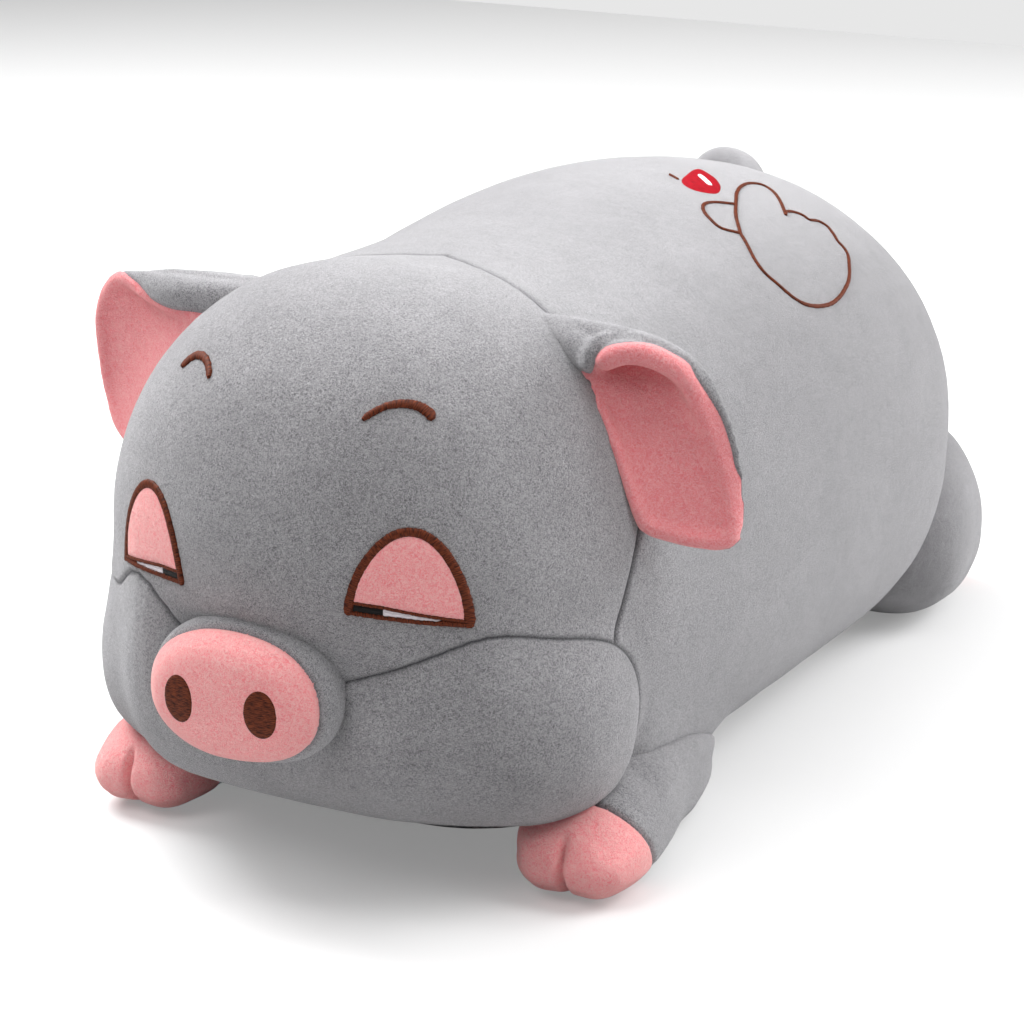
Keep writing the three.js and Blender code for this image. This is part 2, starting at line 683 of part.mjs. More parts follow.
function addLeg({ name, root, turn, kind }) {
  const sections = kind === "front" ? frontLegSections : hindLegSections;
  const seam = kind === "front" ? frontTrotterSeam : hindTrotterSeam;
  const side = Math.sign(root[0]);
  const outward = kind === "front" ? side : -side;
  const heading = THREE.MathUtils.degToRad(turn);
  const ahead = [Math.sin(heading), -Math.cos(heading)];
  const place = (along, across, up) => [
    root[0] + ahead[0] * along - ahead[1] * across,
    root[1] + ahead[1] * along + ahead[0] * across,
    up,
  ];
  const form = (grow, fine) => loft(sections, { ...facetsOf(legFacets, fine), grow, place });
  const hinge = {
    point: new THREE.Vector3(root[0], root[1], 0),
    axis: skyward,
    angles: [0, (outward * legRange) / 2, outward * legRange],
  };
  const shell = form(0, true).subtract(form(-coverThickness, false)).subtract(belowAt(legFloor));
  const beyond = (from) => blockAcross(from, sections.at(-1)[0] + legReach, place);
  const shellLeft = clearOf(shell, clearForm, hinge);
  const cover = mainPiece(shellLeft.subtract(beyond(seam)));
  const trotter = mainPiece(shellLeft.intersect(beyond(seam + seamGap)));
  const filling = clearOf(form(-stuffingDepth, false), clearForm, hinge);
  const group = hingeGroup(hinge);
  group.add(meshOf(`${name}_cover`, cover, greyPlush, hinge.point));
  group.add(meshOf(`${name}_trotter`, trotter, pinkPlush, hinge.point));
  group.add(meshOf(`${name}_stuffing`, filling, whiteFibre, hinge.point));
}

legs.forEach(addLeg);

// The tail, a short stuffed tube that curls to one side over the rump
const tailPath = new THREE.CatmullRomCurve3([
  new THREE.Vector3(-2, 212, 194),
  new THREE.Vector3(1, 224, 203),
  new THREE.Vector3(-6, 232, 211),
  new THREE.Vector3(-15, 235, 212),
  new THREE.Vector3(-23, 232, 207),
]);
const tailRadius = 10;
const tailTaper = 0.25;
const tailEndPower = 8;
const tailRootShare = 0.25;
const tailRange = 20;

function tailForm(grow) {
  const { around, steps } = tailFacets;
  const frames = tailPath.computeFrenetFrames(steps, false);
  const length = tailPath.getLength();
  const sections = [];
  for (let i = 0; i <= steps; i += 1) {
    const share = i / steps;
    const endRound = Math.sqrt(Math.max(0, 1 - Math.abs(2 * share - 1) ** tailEndPower));
    sections.push({ share, radius: endRound * (tailRadius * (1 - tailTaper * share) + grow) });
  }
  const positions = [];
  const triangles = [];
  sections.forEach(({ share, radius }, i) => {
    const stretch = grow / length;
    const at = tailPath.getPointAt(THREE.MathUtils.clamp(share * (1 + 2 * stretch) - stretch, 0, 1));
    if (i === 0 || i === steps) {
      positions.push(at.x, at.y, at.z);
      return;
    }
    for (let k = 0; k < around; k += 1) {
      const angle = (2 * Math.PI * k) / around;
      const p = at.clone();
      p.addScaledVector(frames.normals[i], radius * Math.cos(angle));
      p.addScaledVector(frames.binormals[i], radius * Math.sin(angle));
      positions.push(p.x, p.y, p.z);
    }
  });
  const ring = (i, k) => 1 + (i - 1) * around + (k % around);
  const lastTip = 1 + (steps - 1) * around;
  for (let k = 0; k < around; k += 1) {
    triangles.push(0, ring(1, k + 1), ring(1, k));
    triangles.push(lastTip, ring(steps - 1, k), ring(steps - 1, k + 1));
    for (let i = 1; i < steps - 1; i += 1) {
      triangles.push(ring(i, k), ring(i + 1, k + 1), ring(i + 1, k));
      triangles.push(ring(i, k), ring(i, k + 1), ring(i + 1, k + 1));
    }
  }
  return solidFrom(positions, triangles);
}

const tailHinge = {
  point: tailPath.getPointAt(tailRootShare),
  axis: skyward,
  angles: [0, -tailRange, -tailRange / 2, tailRange / 2, tailRange],
};
const tailGroup = hingeGroup(tailHinge);
const tailShell = tailForm(0).subtract(tailForm(-coverThickness));
tailGroup.add(meshOf("tail_cover", clearOf(tailShell, clearForm, tailHinge), greyPlush, tailHinge.point));
const tailFilling = clearOf(tailForm(-stuffingDepth), clearForm, tailHinge);
tailGroup.add(meshOf("tail_stuffing", tailFilling, whiteFibre, tailHinge.point));

export default pig;
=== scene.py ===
# Plush pig pillow: fabric, stitching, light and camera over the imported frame
import math
import bpy
import bmesh
import numpy as np
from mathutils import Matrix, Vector, noise
from mathutils.bvhtree import BVHTree
from mathutils.kdtree import KDTree


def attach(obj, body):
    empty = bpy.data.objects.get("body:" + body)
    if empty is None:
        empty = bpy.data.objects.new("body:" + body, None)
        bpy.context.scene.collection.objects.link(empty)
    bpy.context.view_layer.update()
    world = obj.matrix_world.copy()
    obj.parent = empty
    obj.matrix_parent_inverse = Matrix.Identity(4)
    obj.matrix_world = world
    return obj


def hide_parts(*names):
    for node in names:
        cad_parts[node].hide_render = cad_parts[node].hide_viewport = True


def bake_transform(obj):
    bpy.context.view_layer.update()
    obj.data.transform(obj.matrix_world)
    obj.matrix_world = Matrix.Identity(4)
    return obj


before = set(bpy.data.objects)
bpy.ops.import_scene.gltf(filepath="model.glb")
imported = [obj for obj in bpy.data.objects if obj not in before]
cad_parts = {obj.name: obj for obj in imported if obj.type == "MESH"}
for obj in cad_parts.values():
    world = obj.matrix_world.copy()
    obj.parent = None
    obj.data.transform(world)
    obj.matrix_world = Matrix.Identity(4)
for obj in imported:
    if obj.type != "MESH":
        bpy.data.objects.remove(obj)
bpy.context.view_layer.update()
scene = bpy.context.scene
scene.view_settings.view_transform = "Standard"
rng = np.random.default_rng(7)
mm = 0.001
print("frame loaded")

# camera
camera = {"azimuth": 28, "elevation": 18, "distance": 1.41, "target": (0, -0.032, 0.105), "lens": 109}


def addCamera(c):
    data = bpy.data.cameras.new("camera")
    data.lens = c["lens"]
    data.sensor_width = 36
    obj = bpy.data.objects.new("camera", data)
    a, e = math.radians(c["azimuth"]), math.radians(c["elevation"])
    back = Vector((math.sin(a) * math.cos(e), -math.cos(a) * math.cos(e), math.sin(e)))
    obj.location = Vector(c["target"]) + back * c["distance"]
    obj.rotation_mode = "QUATERNION"
    obj.rotation_quaternion = (-back).to_track_quat("-Z", "Y")
    scene.collection.objects.link(obj)
    scene.camera = obj


addCamera(camera)


# mesh helpers, in millimetres
def shaded(mesh):
    mesh.polygons.foreach_set("use_smooth", np.ones(len(mesh.polygons), bool))


def newPiece(name, points, faces):
    mesh = bpy.data.meshes.new(name)
    mesh.from_pydata((np.asarray(points, float) * mm).tolist(), [], [tuple(int(i) for i in f) for f in faces])
    shaded(mesh)
    obj = bpy.data.objects.new(name, mesh)
    scene.collection.objects.link(obj)
    return obj


def joinedParts(name, parts):
    points, faces = [], []
    for p, f in parts:
        shift = sum(len(q) for q in points)
        points.append(p)
        faces += [tuple(i + shift for i in face) for face in f]
    return newPiece(name, np.vstack(points), faces)


def readOff(items, key, width, kind=np.float32):
    flat = np.empty(len(items) * width, kind)
    items.foreach_get(key, flat)
    return flat.reshape(-1, width)


def pointsOf(obj):
    return readOff(obj.data.vertices, "co", 3).astype(float) / mm


def normalsOf(obj):
    return readOff(obj.data.vertex_normals, "vector", 3).astype(float)


def edgesOf(obj):
    return readOff(obj.data.edges, "vertices", 2, np.int32)


def facesOf(obj):
    return [tuple(f.vertices) for f in obj.data.polygons]


def movePoints(obj, points):
    obj.data.vertices.foreach_set("co", (points * mm).astype(np.float32).ravel())
    obj.data.update()


def setValue(obj, name, values):
    at = obj.data.attributes.get(name) or obj.data.attributes.new(name, "FLOAT", "POINT")
    at.data.foreach_set("value", np.asarray(values, np.float32))


def applied(obj):
    # swaps the mesh for what its modifiers make of it
    graph = bpy.context.evaluated_depsgraph_get()
    mesh = bpy.data.meshes.new_from_object(obj.evaluated_get(graph))
    old = obj.data
    obj.modifiers.clear()
    obj.data = mesh
    bpy.data.meshes.remove(old)
    shaded(mesh)
    return obj


def reworked(obj, change):
    mesh = bmesh.new()
    mesh.from_mesh(obj.data)
    change(mesh)
    mesh.to_mesh(obj.data)
    mesh.free()
    return obj


def outward(obj):
    return reworked(obj, lambda mesh: bmesh.ops.recalc_face_normals(mesh, faces=mesh.faces))


def ramp(x, low, high):
    t = np.clip((x - low) / (high - low), 0, 1)
    return t * t * (3 - 2 * t)


def bell(x, width):
    return np.exp(-(x / width) ** 2)


def unit(ways):
    return ways / np.linalg.norm(ways, axis=1)[:, None]


def lumps(points, size, seed):
    # soft noise at a wavelength of size millimetres
    shift = Vector((seed, seed * 1.7, -seed))
    return np.array([noise.noise(Vector(p) / size + shift) for p in points.tolist()])


# smooth curves
def curved(run, steps):
    # fine rows of a smooth curve from the second row of run to the last but one
    rows = []
    for i in range(1, len(run) - 2):
        a, b, c, d = run[i - 1:i + 3]
        bend = 2 * a - 5 * b + 4 * c - d
        for k in range(steps):
            t = k / steps
            rows.append(0.5 * (2 * b + (c - a) * t + bend * t * t + (3 * b - a - 3 * c + d) * t ** 3))
    rows.append(run[-2])
    return np.array(rows)


def walked(line):
    # how far along a line each of its points lies, whatever their radius
    return np.concatenate([[0], np.cumsum(np.linalg.norm(np.diff(line[:, :3], axis=0), axis=1))])


def picked(line, far, at):
    # the places at the distances in at, on a line whose points lie at the distances in far
    return np.stack([np.interp(at, far, line[:, k]) for k in range(line.shape[1])], 1)


def smoothPath(path, shares):
    # places on an open smooth curve at the given shares of its length
    p = np.array(path, float)
    fine = curved(np.vstack([2 * p[0] - p[1], p, 2 * p[-1] - p[-2]]), 30)
    far = walked(fine)
    return picked(fine, far, np.asarray(shares) * far[-1])


def bands(rings, around):
    # the four sided faces between rings of points
    faces = []
    for i in range(rings):
        for k in range(around):
            a, b = i * around + k, i * around + (k + 1) % around
            faces.append((a, b, b + around, a + around))
    return faces


# lofted forms
def smoothRows(stations, steps):
    def turnedBack(s):
        return [s[0], -s[1], s[3], s[2], *s[4:]]

    return curved(np.array([turnedBack(stations[1]), *stations, turnedBack(stations[-2])], float), steps)


def loft(stations, around, steps, place, grow=0.0):
    # a closed form through stations of along, half width, top, base, roundness above and below, and for
    # the muzzle how far forward or back their middle lies
    rows = smoothRows(stations, steps)
    start, end = rows[0][0], rows[-1][0]
    stretch = (end - start + 2 * grow) / (end - start)
    angle = np.linspace(0, 2 * math.pi, around, endpoint=False)
    c, s = np.cos(angle), np.sin(angle)
    points, faces = [], []
    for i, row in enumerate(rows):
        along, half, top, base, above, below = row[:6]
        depth = row[6] if len(row) > 6 else 0
        at = (start + end) / 2 + (along - (start + end) / 2) * stretch
        if i in (0, len(rows) - 1):
            points.append(place(at, depth, top))
            continue
        wide = max(half + grow, half * 0.3)
        thin = grow if 2 * min(grow, 0) + top - base > 0 else -(top - base) * 0.3
        high, low = top + thin, base - thin
        widest = low + (high - low) * 0.48
        power = 2 / np.where(s >= 0, above, below)
        across = depth + wide * np.sign(c) * np.abs(c) ** power
        up = widest + np.where(s >= 0, high - widest, widest - low) * np.sign(s) * np.abs(s) ** power
        points += [place(at, float(p), float(q)) for p, q in zip(across, up)]
    last = 1 + (len(rows) - 2) * around
    for k in range(around):
        n = (k + 1) % around
        faces.append((0, 1 + n, 1 + k))
        faces.append((last, last - around + k, last - around + n))
        for i in range(len(rows) - 3):
            a, b = 1 + i * around, 1 + (i + 1) * around
            faces.append((a + k, a + n, b + n, b + k))
    points = np.array(points, float)
    corners = np.array([points[list(f[:3])] for f in faces])
    volume = np.einsum("ij,ij->i", corners[:, 0], np.cross(corners[:, 1], corners[:, 2])).sum()
    if volume < 0:
        faces = [f[::-1] for f in faces]
    return points, faces


class Form:
    # a closed form that can tell how far points lie outside it
    def __init__(self, points, faces):
        self.tree = BVHTree.FromPolygons([tuple(p) for p in points], faces)

    def distance(self, points):
        far, way = np.empty(len(points)), np.empty((len(points), 3))
        for i, p in enumerate(points.tolist()):
            at, normal, _, _ = self.tree.find_nearest(p)
            step = Vector(p) - at
            side = 1 if step.dot(normal) >= 0 else -1
            far[i] = side * step.length
            way[i] = normal
        return far, way


def remeshed(obj, voxel):
    change = obj.modifiers.new("remesh", "REMESH")
    change.mode = "VOXEL"
    change.voxel_size = voxel * mm
    change.use_smooth_shade = True
    return applied(obj)


def subdivided(obj):
    finer = obj.modifiers.new("finer", "SUBSURF")
    finer.levels = finer.render_levels = 1
    return applied(obj)


clothFrames = 20
fabricKind = {
    "quality": 4, "mass": 0.2, "tension_stiffness": 12, "compression_stiffness": 12, "shear_stiffness": 6,
    "bending_stiffness": 1.5, "use_pressure": True, "vertex_group_mass": "held",
}


def stuffed(obj, held, pressure, cap):
    # blows the cover up like a filled one: held is 1 where a seam or the floor holds the cloth
    before = pointsOf(obj)
    group = obj.vertex_groups.new(name="held")
    for i, h in enumerate(held):
        if h > 0.01:
            group.add([i], float(h), "REPLACE")
    cloth = obj.modifiers.new("stuffing", "CLOTH")
    for key, value in fabricKind.items():
        setattr(cloth.settings, key, value)
    cloth.settings.uniform_pressure_force = pressure
    cloth.settings.effector_weights.gravity = 0
    cloth.collision_settings.use_collision = False
    scene.frame_start, scene.frame_end = 1, clothFrames
    for number in range(1, clothFrames + 1):
        scene.frame_set(number)
    applied(obj)
    scene.frame_set(1)
    move = pointsOf(obj) - before
    size = np.linalg.norm(move, axis=1)
    limit = cap * np.tanh(size / cap)
    movePoints(obj, before + move * (limit / np.maximum(size, 1e-6))[:, None])
    return obj


def refined(obj, near):
    # halves the edges where near is true, for creases
    def halve(mesh):
        mesh.verts.ensure_lookup_table()
        edges = [e for e in mesh.edges if near[e.verts[0].index] and near[e.verts[1].index]]
        bmesh.ops.subdivide_edges(mesh, edges=edges, cuts=1, use_grid_fill=True)

    shaded(reworked(obj, halve).data)


def crossings(obj, field):
    # where the edges of a mesh cross the line on which the field is nought
    points, edges = pointsOf(obj), edgesOf(obj)
    a, b = edges[:, 0], edges[:, 1]
    crossing = field[a] * field[b] < 0
    a, b = a[crossing], b[crossing]
    share = field[a] / (field[a] - field[b])
    at = points[a] + (points[b] - points[a]) * share[:, None]
    return at, np.where(share < 0.5, a, b), points


def evened(obj, field, rounds):
    # a field smoothed along the edges of its mesh
    edges = edgesOf(obj)
    count = np.bincount(edges.ravel(), minlength=len(field)) + 1
    for _ in range(rounds):
        total = field.copy()
        np.add.at(total, edges[:, 0], field[edges[:, 1]])
        np.add.at(total, edges[:, 1], field[edges[:, 0]])
        field = total / count
    return field


def snapped(obj, field):
    # pulls the points nearest a seam onto it, so that panels part along a clean line
    at, nearer, points = crossings(obj, field)
    total, count = np.zeros_like(points), np.zeros(len(points))
    np.add.at(total, nearer, at)
    np.add.at(count, nearer, 1)
    hit = count > 0
    points[hit] = total[hit] / count[hit][:, None]
    movePoints(obj, points)
    field = field.copy()
    field[hit] = 0
    return field


def farFrom(line, points):
    # how far each point lies from the nearest point of a seam line, up to 40
    tree = KDTree(len(line))
    for i, p in enumerate(line.tolist()):
        tree.insert(p, i)
    tree.balance()
    return np.array([min(tree.find(p)[2], 40) for p in points.tolist()])


def panel(name, source, keep):
    # a new piece from the faces of source that keep marks
    faces = [f for f, k in zip(facesOf(source), keep) if k]
    used = sorted({i for f in faces for i in f})
    number = {old: new for new, old in enumerate(used)}
    made = newPiece(name, pointsOf(source)[used], [[number[i] for i in f] for f in faces])
    setValue(made, "seam", readOff(source.data.attributes["seam"].data, "value", 1)[used, 0])
    return made


def cutApart(cover, keeps):
    # a piece for each name in keeps, in place of the cover
    pieces = [panel(name, cover, keep) for name, keep in keeps.items()]
    bpy.data.objects.remove(cover)
    return pieces


def faceSum(obj, values):
    return np.array([values[list(f)].sum() for f in facesOf(obj)])


# fabric and thread
def nodesOf(name):
    material = bpy.data.materials.new(name)
    material.use_nodes = True
    tree = material.node_tree
    return material, tree, tree.nodes["Principled BSDF"]


def given(tree, node, values):
    # sets or links the inputs of a node
    for key, value in values.items():
        if isinstance(value, bpy.types.NodeSocket):
            tree.links.new(value, node.inputs[key])
        else:
            node.inputs[key].default_value = value
    return node


def addNode(tree, kind, values=None, **settings):
    made = tree.nodes.new(kind)
    for key, value in settings.items():
        setattr(made, key, value)
    return given(tree, made, values or {})


def linear(rgb):
    # a screen colour, 0 to 255, as the light it stands for
    shares = [v / 255 for v in rgb]
    return tuple(c / 12.92 if c <= 0.04045 else ((c + 0.055) / 1.055) ** 2.4 for c in shares) + (1,)


def spread(tree, value, low, high):
    made = addNode(tree, "ShaderNodeMapRange", {"Value": value, "From Min": low, "From Max": high})
    return made.outputs["Result"]


def mixed(tree, factor, first, second):
    # inputs 6 and 7 and output 2 are the colours of a mix node
    made = addNode(tree, "ShaderNodeMix", {0: factor, 6: first, 7: second}, data_type="RGBA")
    return made.outputs[2]


def plush(name, look):
    # short dense pile: wormy grain, brushed patches, and painted shade down in the seams and creases
    material, tree, skin = nodesOf(name)
    place = addNode(tree, "ShaderNodeTexCoord").outputs["Object"]

    def cloud(size, detail, roughness, distortion=0.0):
        return addNode(tree, "ShaderNodeTexNoise", {
            "Vector": place, "Scale": 1000 / size, "Detail": detail, "Roughness": roughness,
            "Distortion": distortion}).outputs["Fac"]

    shade, light = linear(look["shade"]), linear(look["light"])
    grain = cloud(look["grain"], 2.5, 0.6, 1.6)
    nap = cloud(look["nap"], 3, 0.55, 0.6)
    patches = cloud(look["patches"], 2, 0.5)
    colour = mixed(tree, spread(tree, grain, 0.5 - look["contrast"], 0.5 + look["contrast"]), shade, light)
    # the grain is painted flatter from the head towards the back, standing in for the bright light that
    # washes it out there
    even = [(a + b) / 2 for a, b in zip(shade, light)]
    along = addNode(tree, "ShaderNodeSeparateXYZ", {"Vector": place}).outputs["Y"]
    calm = addNode(tree, "ShaderNodeMapRange", {
        "Value": along, "From Min": -0.17, "From Max": 0.05, "To Max": 0.75})
    colour = mixed(tree, calm.outputs["Result"], colour, even)
    brushed = spread(tree, nap, 0.35, 0.65)
    colour = mixed(tree, brushed, colour, mixed(tree, look["napDepth"], colour, light))
    broad = spread(tree, patches, 0.3, 0.7)
    colour = mixed(tree, broad, mixed(tree, look["patchDepth"], colour, shade), colour)
    # painted shade: the seam value darkens the colour towards deep along seams and creases
    seam = addNode(tree, "ShaderNodeAttribute", attribute_name="seam").outputs["Fac"]
    dark = spread(tree, seam, 0, 1 / look["seamDark"])
    soft = addNode(tree, "ShaderNodeBump", {
        "Height": nap, "Strength": 0.5, "Distance": look["napHeight"] * mm})
    fine = addNode(tree, "ShaderNodeBump", {
        "Height": grain, "Strength": 0.9, "Distance": look["pile"] * mm, "Normal": soft.outputs["Normal"]})
    given(tree, skin, {
        "Base Color": mixed(tree, dark, colour, linear(look["deep"])), "Normal": fine.outputs["Normal"],
        "Roughness": 0.95, "Specular IOR Level": 0.12, "Sheen Weight": look["sheen"],
        "Sheen Roughness": 0.45, "Sheen Tint": linear(look["sheenTint"])})
    return material


def thread(name, look):
    # satin stitch: threads lie across the band, along the second direction of its map
    material, tree, skin = nodesOf(name)
    place = addNode(tree, "ShaderNodeUVMap").outputs["UV"]
    across = addNode(tree, "ShaderNodeMapping", {"Vector": place, "Scale": (1, look["run"], 1)})
    strands = addNode(tree, "ShaderNodeTexNoise", {
        "Vector": across.outputs["Vector"], "Scale": 1 / look["strand"], "Detail": 2, "Roughness": 0.7})
    strands = strands.outputs["Fac"]
    tone = spread(tree, strands, 0.35, 0.65)
    rough = addNode(tree, "ShaderNodeBump", {"Height": strands, "Strength": 0.8, "Distance": 0.35 * mm})
    given(tree, skin, {
        "Base Color": mixed(tree, tone, linear(look["shade"]), linear(look["light"])),
        "Roughness": look["roughness"], "Specular IOR Level": 0.15, "Normal": rough.outputs["Normal"]})
    return material


# deep is the painted shade colour that seams and creases darken towards
greyLook = {
    "shade": (104, 103, 106), "light": (186, 184, 187), "deep": (56, 56, 61), "seamDark": 0.8,
    "grain": 0.66, "nap": 5, "patches": 26, "napDepth": 0.2, "patchDepth": 0.18, "contrast": 0.09,
    "pile": 0.85, "napHeight": 0.4, "sheen": 0.7, "sheenTint": (238, 238, 240),
}
pinkLook = {
    "shade": (250, 138, 143), "light": (255, 192, 190), "deep": (196, 94, 102), "seamDark": 0.7,
    "grain": 1.0, "nap": 4, "patches": 35, "napDepth": 0.25, "patchDepth": 0.15, "contrast": 0.11,
    "pile": 0.8, "napHeight": 0.8, "sheen": 1.0, "sheenTint": (255, 214, 208),
}
# painted shade: the ear linings are a little deeper than the other pink, for the shade in the ears
shadedEarPinkLook = {
    **pinkLook,
    "shade": (236, 122, 129), "light": (246, 172, 174), "deep": (186, 86, 94),
    "sheen": 0.8, "sheenTint": (255, 206, 202),
}
greyPlush = plush("grey plush", greyLook)
pinkPlush = plush("pink plush", pinkLook)
shadedEarPlush = plush("shaded ear pink plush", shadedEarPinkLook)
threadLooks = {
    "brown": {"shade": (34, 10, 6), "light": (124, 58, 32), "strand": 0.4, "run": 0.12, "roughness": 0.6},
    "black": {"shade": (8, 7, 7), "light": (26, 22, 22), "strand": 0.45, "run": 0.12, "roughness": 0.4},
    "white": {
        "shade": (205, 196, 204), "light": (246, 240, 244), "strand": 0.45, "run": 0.12, "roughness": 0.5},
    "red": {"shade": (116, 0, 14), "light": (172, 3, 28), "strand": 0.5, "run": 0.15, "roughness": 0.7},
}
threads = {colour: thread(f"{colour} thread", look) for colour, look in threadLooks.items()}
print("fabrics made")


def finished(obj, node, body, material, slotName):
    # gives a piece its material and says which nodes it replaces and what it rides on
    obj.data.materials.clear()
    obj.data.materials.append(material)
    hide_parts(*([node] if isinstance(node, str) else node))
    if body:
        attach(obj, body)
    return obj


# torso, head and muzzle
bodyStations = [
    [-254, 0, 138, 138, 2.2, 2.2], [-246, 44, 176, 104, 2.2, 2.2], [-225, 81, 215, 62, 2.2, 2.3],
    [-192, 105, 237, 26, 2.2, 2.4], [-147, 120, 244, -0.5, 2.35, 2.8], [-92, 128, 238, -0.5, 2.35, 2.8],
    [-32, 134, 239, -0.5, 2.1, 3], [58, 139, 244, -0.5, 2.1, 3], [138, 138, 237.5, -0.5, 2.1, 3],
    [193, 126, 221, 3, 2.1, 2.6], [236, 84, 173, 38, 2.1, 2.2], [250, 0, 108, 108, 2.2, 2.2],
]
muzzleStations = [
    [-123, 0, 69, 69, 2, 2, -163], [-119.5, 20, 91, 47, 2.1, 2.1, -163], [-107, 38, 115, 33, 2.2, 2.1, -166],
    [-84, 53, 150, 27, 2.3, 2.1, -172], [-54, 66, 159, 25, 2.4, 2.1, -182], [0, 64, 128, 24, 2.4, 2.1, -180],
    [48, 64, 133, 25, 2.4, 2.1, -180], [82, 53, 145, 27, 2.3, 2.1, -177], [106, 38, 117, 32, 2.2, 2.1, -172],
    [120, 21, 97, 46, 2.1, 2.1, -168], [124, 0, 72, 72, 2, 2, -167],
]
frontLeg = {
    "stations": [
        [-20, 0, 18, 18, 2.2, 2.2], [-12, 11, 27, 4, 2.1, 2.2], [12, 17.5, 37, 0.5, 2.1, 2.4],
        [38, 20, 41, 0.5, 2.1, 2.5], [66, 25, 41, 0.5, 2.2, 2.6], [92, 28, 38, 0.5, 2.2, 2.5],
        [110, 26, 33, 2, 2.2, 2.3], [121, 19.5, 26, 7, 2.2, 2.2], [126, 0, 17, 17, 2.2, 2.2]],
    "seam": 84, "lean": 0.45, "cleft": 3.6, "cleftWidth": 1.7, "cleftTop": 20, "toeSeam": 8, "lobe": 1.6,
    "rootLine": 0.8, "bendTo": 34, "fill": 26, "torsoFill": 26,
}
hindLeg = {
    "stations": [
        [-54, 0, 48, 48, 2.1, 2.1], [-40, 35, 82, 10, 2.1, 2.2], [-12, 42.5, 93, 0.5, 2.1, 2.4],
        [14, 42, 86, 0.5, 2.1, 2.4], [36, 36, 62, 1, 2.1, 2.3], [54, 27, 44, 5, 2.1, 2.2],
        [62, 0, 22, 22, 2.1, 2.1]],
    "seam": 36, "lean": 0.45, "cleft": 3.6, "cleftWidth": 1.7, "cleftTop": 26, "toeSeam": 10, "lobe": 1.2,
    "rootLine": 0, "bendTo": 20, "fill": 40, "torsoFill": 12,
}
legs = [
    ("front_leg_left", (105, -74), 2.5, frontLeg), ("front_leg_right", (-92, -78), -2.5, frontLeg),
    ("hind_leg_left", (93, 213), 188, hindLeg), ("hind_leg_right", (-93, 213), -188, hindLeg),
]
pillow = {
    "voxel": 4.5, "start": 1.2, "pressure": 4, "cap": 2.5, "trueness": 0.75, "seamHold": (2, 9),
    "floorHold": (3, 8), "cheekFill": 8, "farCheekFill": 10, "farCheek": (70, 112), "torsoEdge": (0, 16),
    "fineWithin": (7, 3.5), "seamDepth": 1.1, "seamWidth": 1.2, "softDepth": 0.7, "softReach": 6,
    "slack": 0.75, "slackSide": (76, 96), "slackHead": (10, 30), "pucker": 0.45, "puckerSize": 11,
    "puckerReach": 14, "puckerGap": 3, "lump": 0.8, "lumpSize": 85, "smallLump": 0.25, "smallLumpSize": 24,
    "lumpsAbove": (2, 12), "seamLineShade": 0.9, "seamLineShadeWidth": 0.8, "seamSoftShade": 0.2, "seamSoftShadeReach": 3,
}


def alongY(along, across, up):
    return (across, along, up)


def alongX(along, across, up):
    return (along, across, up)


neckLine = {"crown": -92, "slope": 0.64, "bend": 0.0018, "cheekTop": 150, "cheekSlope": 0.45}


def neckSeam(points, n):
    side = np.abs(points[:, 0])
    cheek = np.maximum(0, n["cheekTop"] - points[:, 2])
    return n["crown"] - n["slope"] * side + n["bend"] * side ** 2 - n["cheekSlope"] * cheek


def legFrame(root, turn):
    heading = math.radians(turn)
    ahead = (math.sin(heading), -math.cos(heading))

    def place(along, across, up):
        x = root[0] + ahead[0] * along - ahead[1] * across
        y = root[1] + ahead[1] * along + ahead[0] * across
        return (x, y, up)

    return ahead, place


bodyForm = Form(*loft(bodyStations, 72, 6, alongY))
muzzleForm = Form(*loft(muzzleStations, 56, 5, alongX))
legForms = []
for _, root, turn, leg in legs:
    _, place = legFrame(root, turn)
    legForms.append((Form(*loft(leg["stations"], 40, 4, place)), leg))


def filled(gap, reach):
    # how far the cloth stands out of the crease between two forms that lie gap apart there
    return reach / 4 * np.clip(1 - np.abs(gap) / reach, 0, 1) ** 2


def clearOfFloor(points, ways, leg):
    # 1 where a leg's crease may be filled: above the floor, and for a front leg only from on top
    above = ramp(points[:, 2], 4, 30)
    return above * ramp(ways[:, 2], 0.1, 0.7) if leg is frontLeg else above


def seamFields(points):
    # lead is positive on the muzzle and neck on the head; far is how far out of both forms a point lies
    bodyFar, _ = bodyForm.distance(points)
    muzzleFar, _ = muzzleForm.distance(points)
    neck = neckSeam(points, neckLine) - points[:, 1]
    return bodyFar - muzzleFar, neck, np.minimum(bodyFar, muzzleFar)


def seamLines(obj, lead, neck):
    # the two sewn lines: round the muzzle, and round the neck as far as the muzzle
    round, _, _ = crossings(obj, lead)
    collar, nearer, _ = crossings(obj, neck)
    return np.vstack([round, collar[lead[nearer] < 0]])


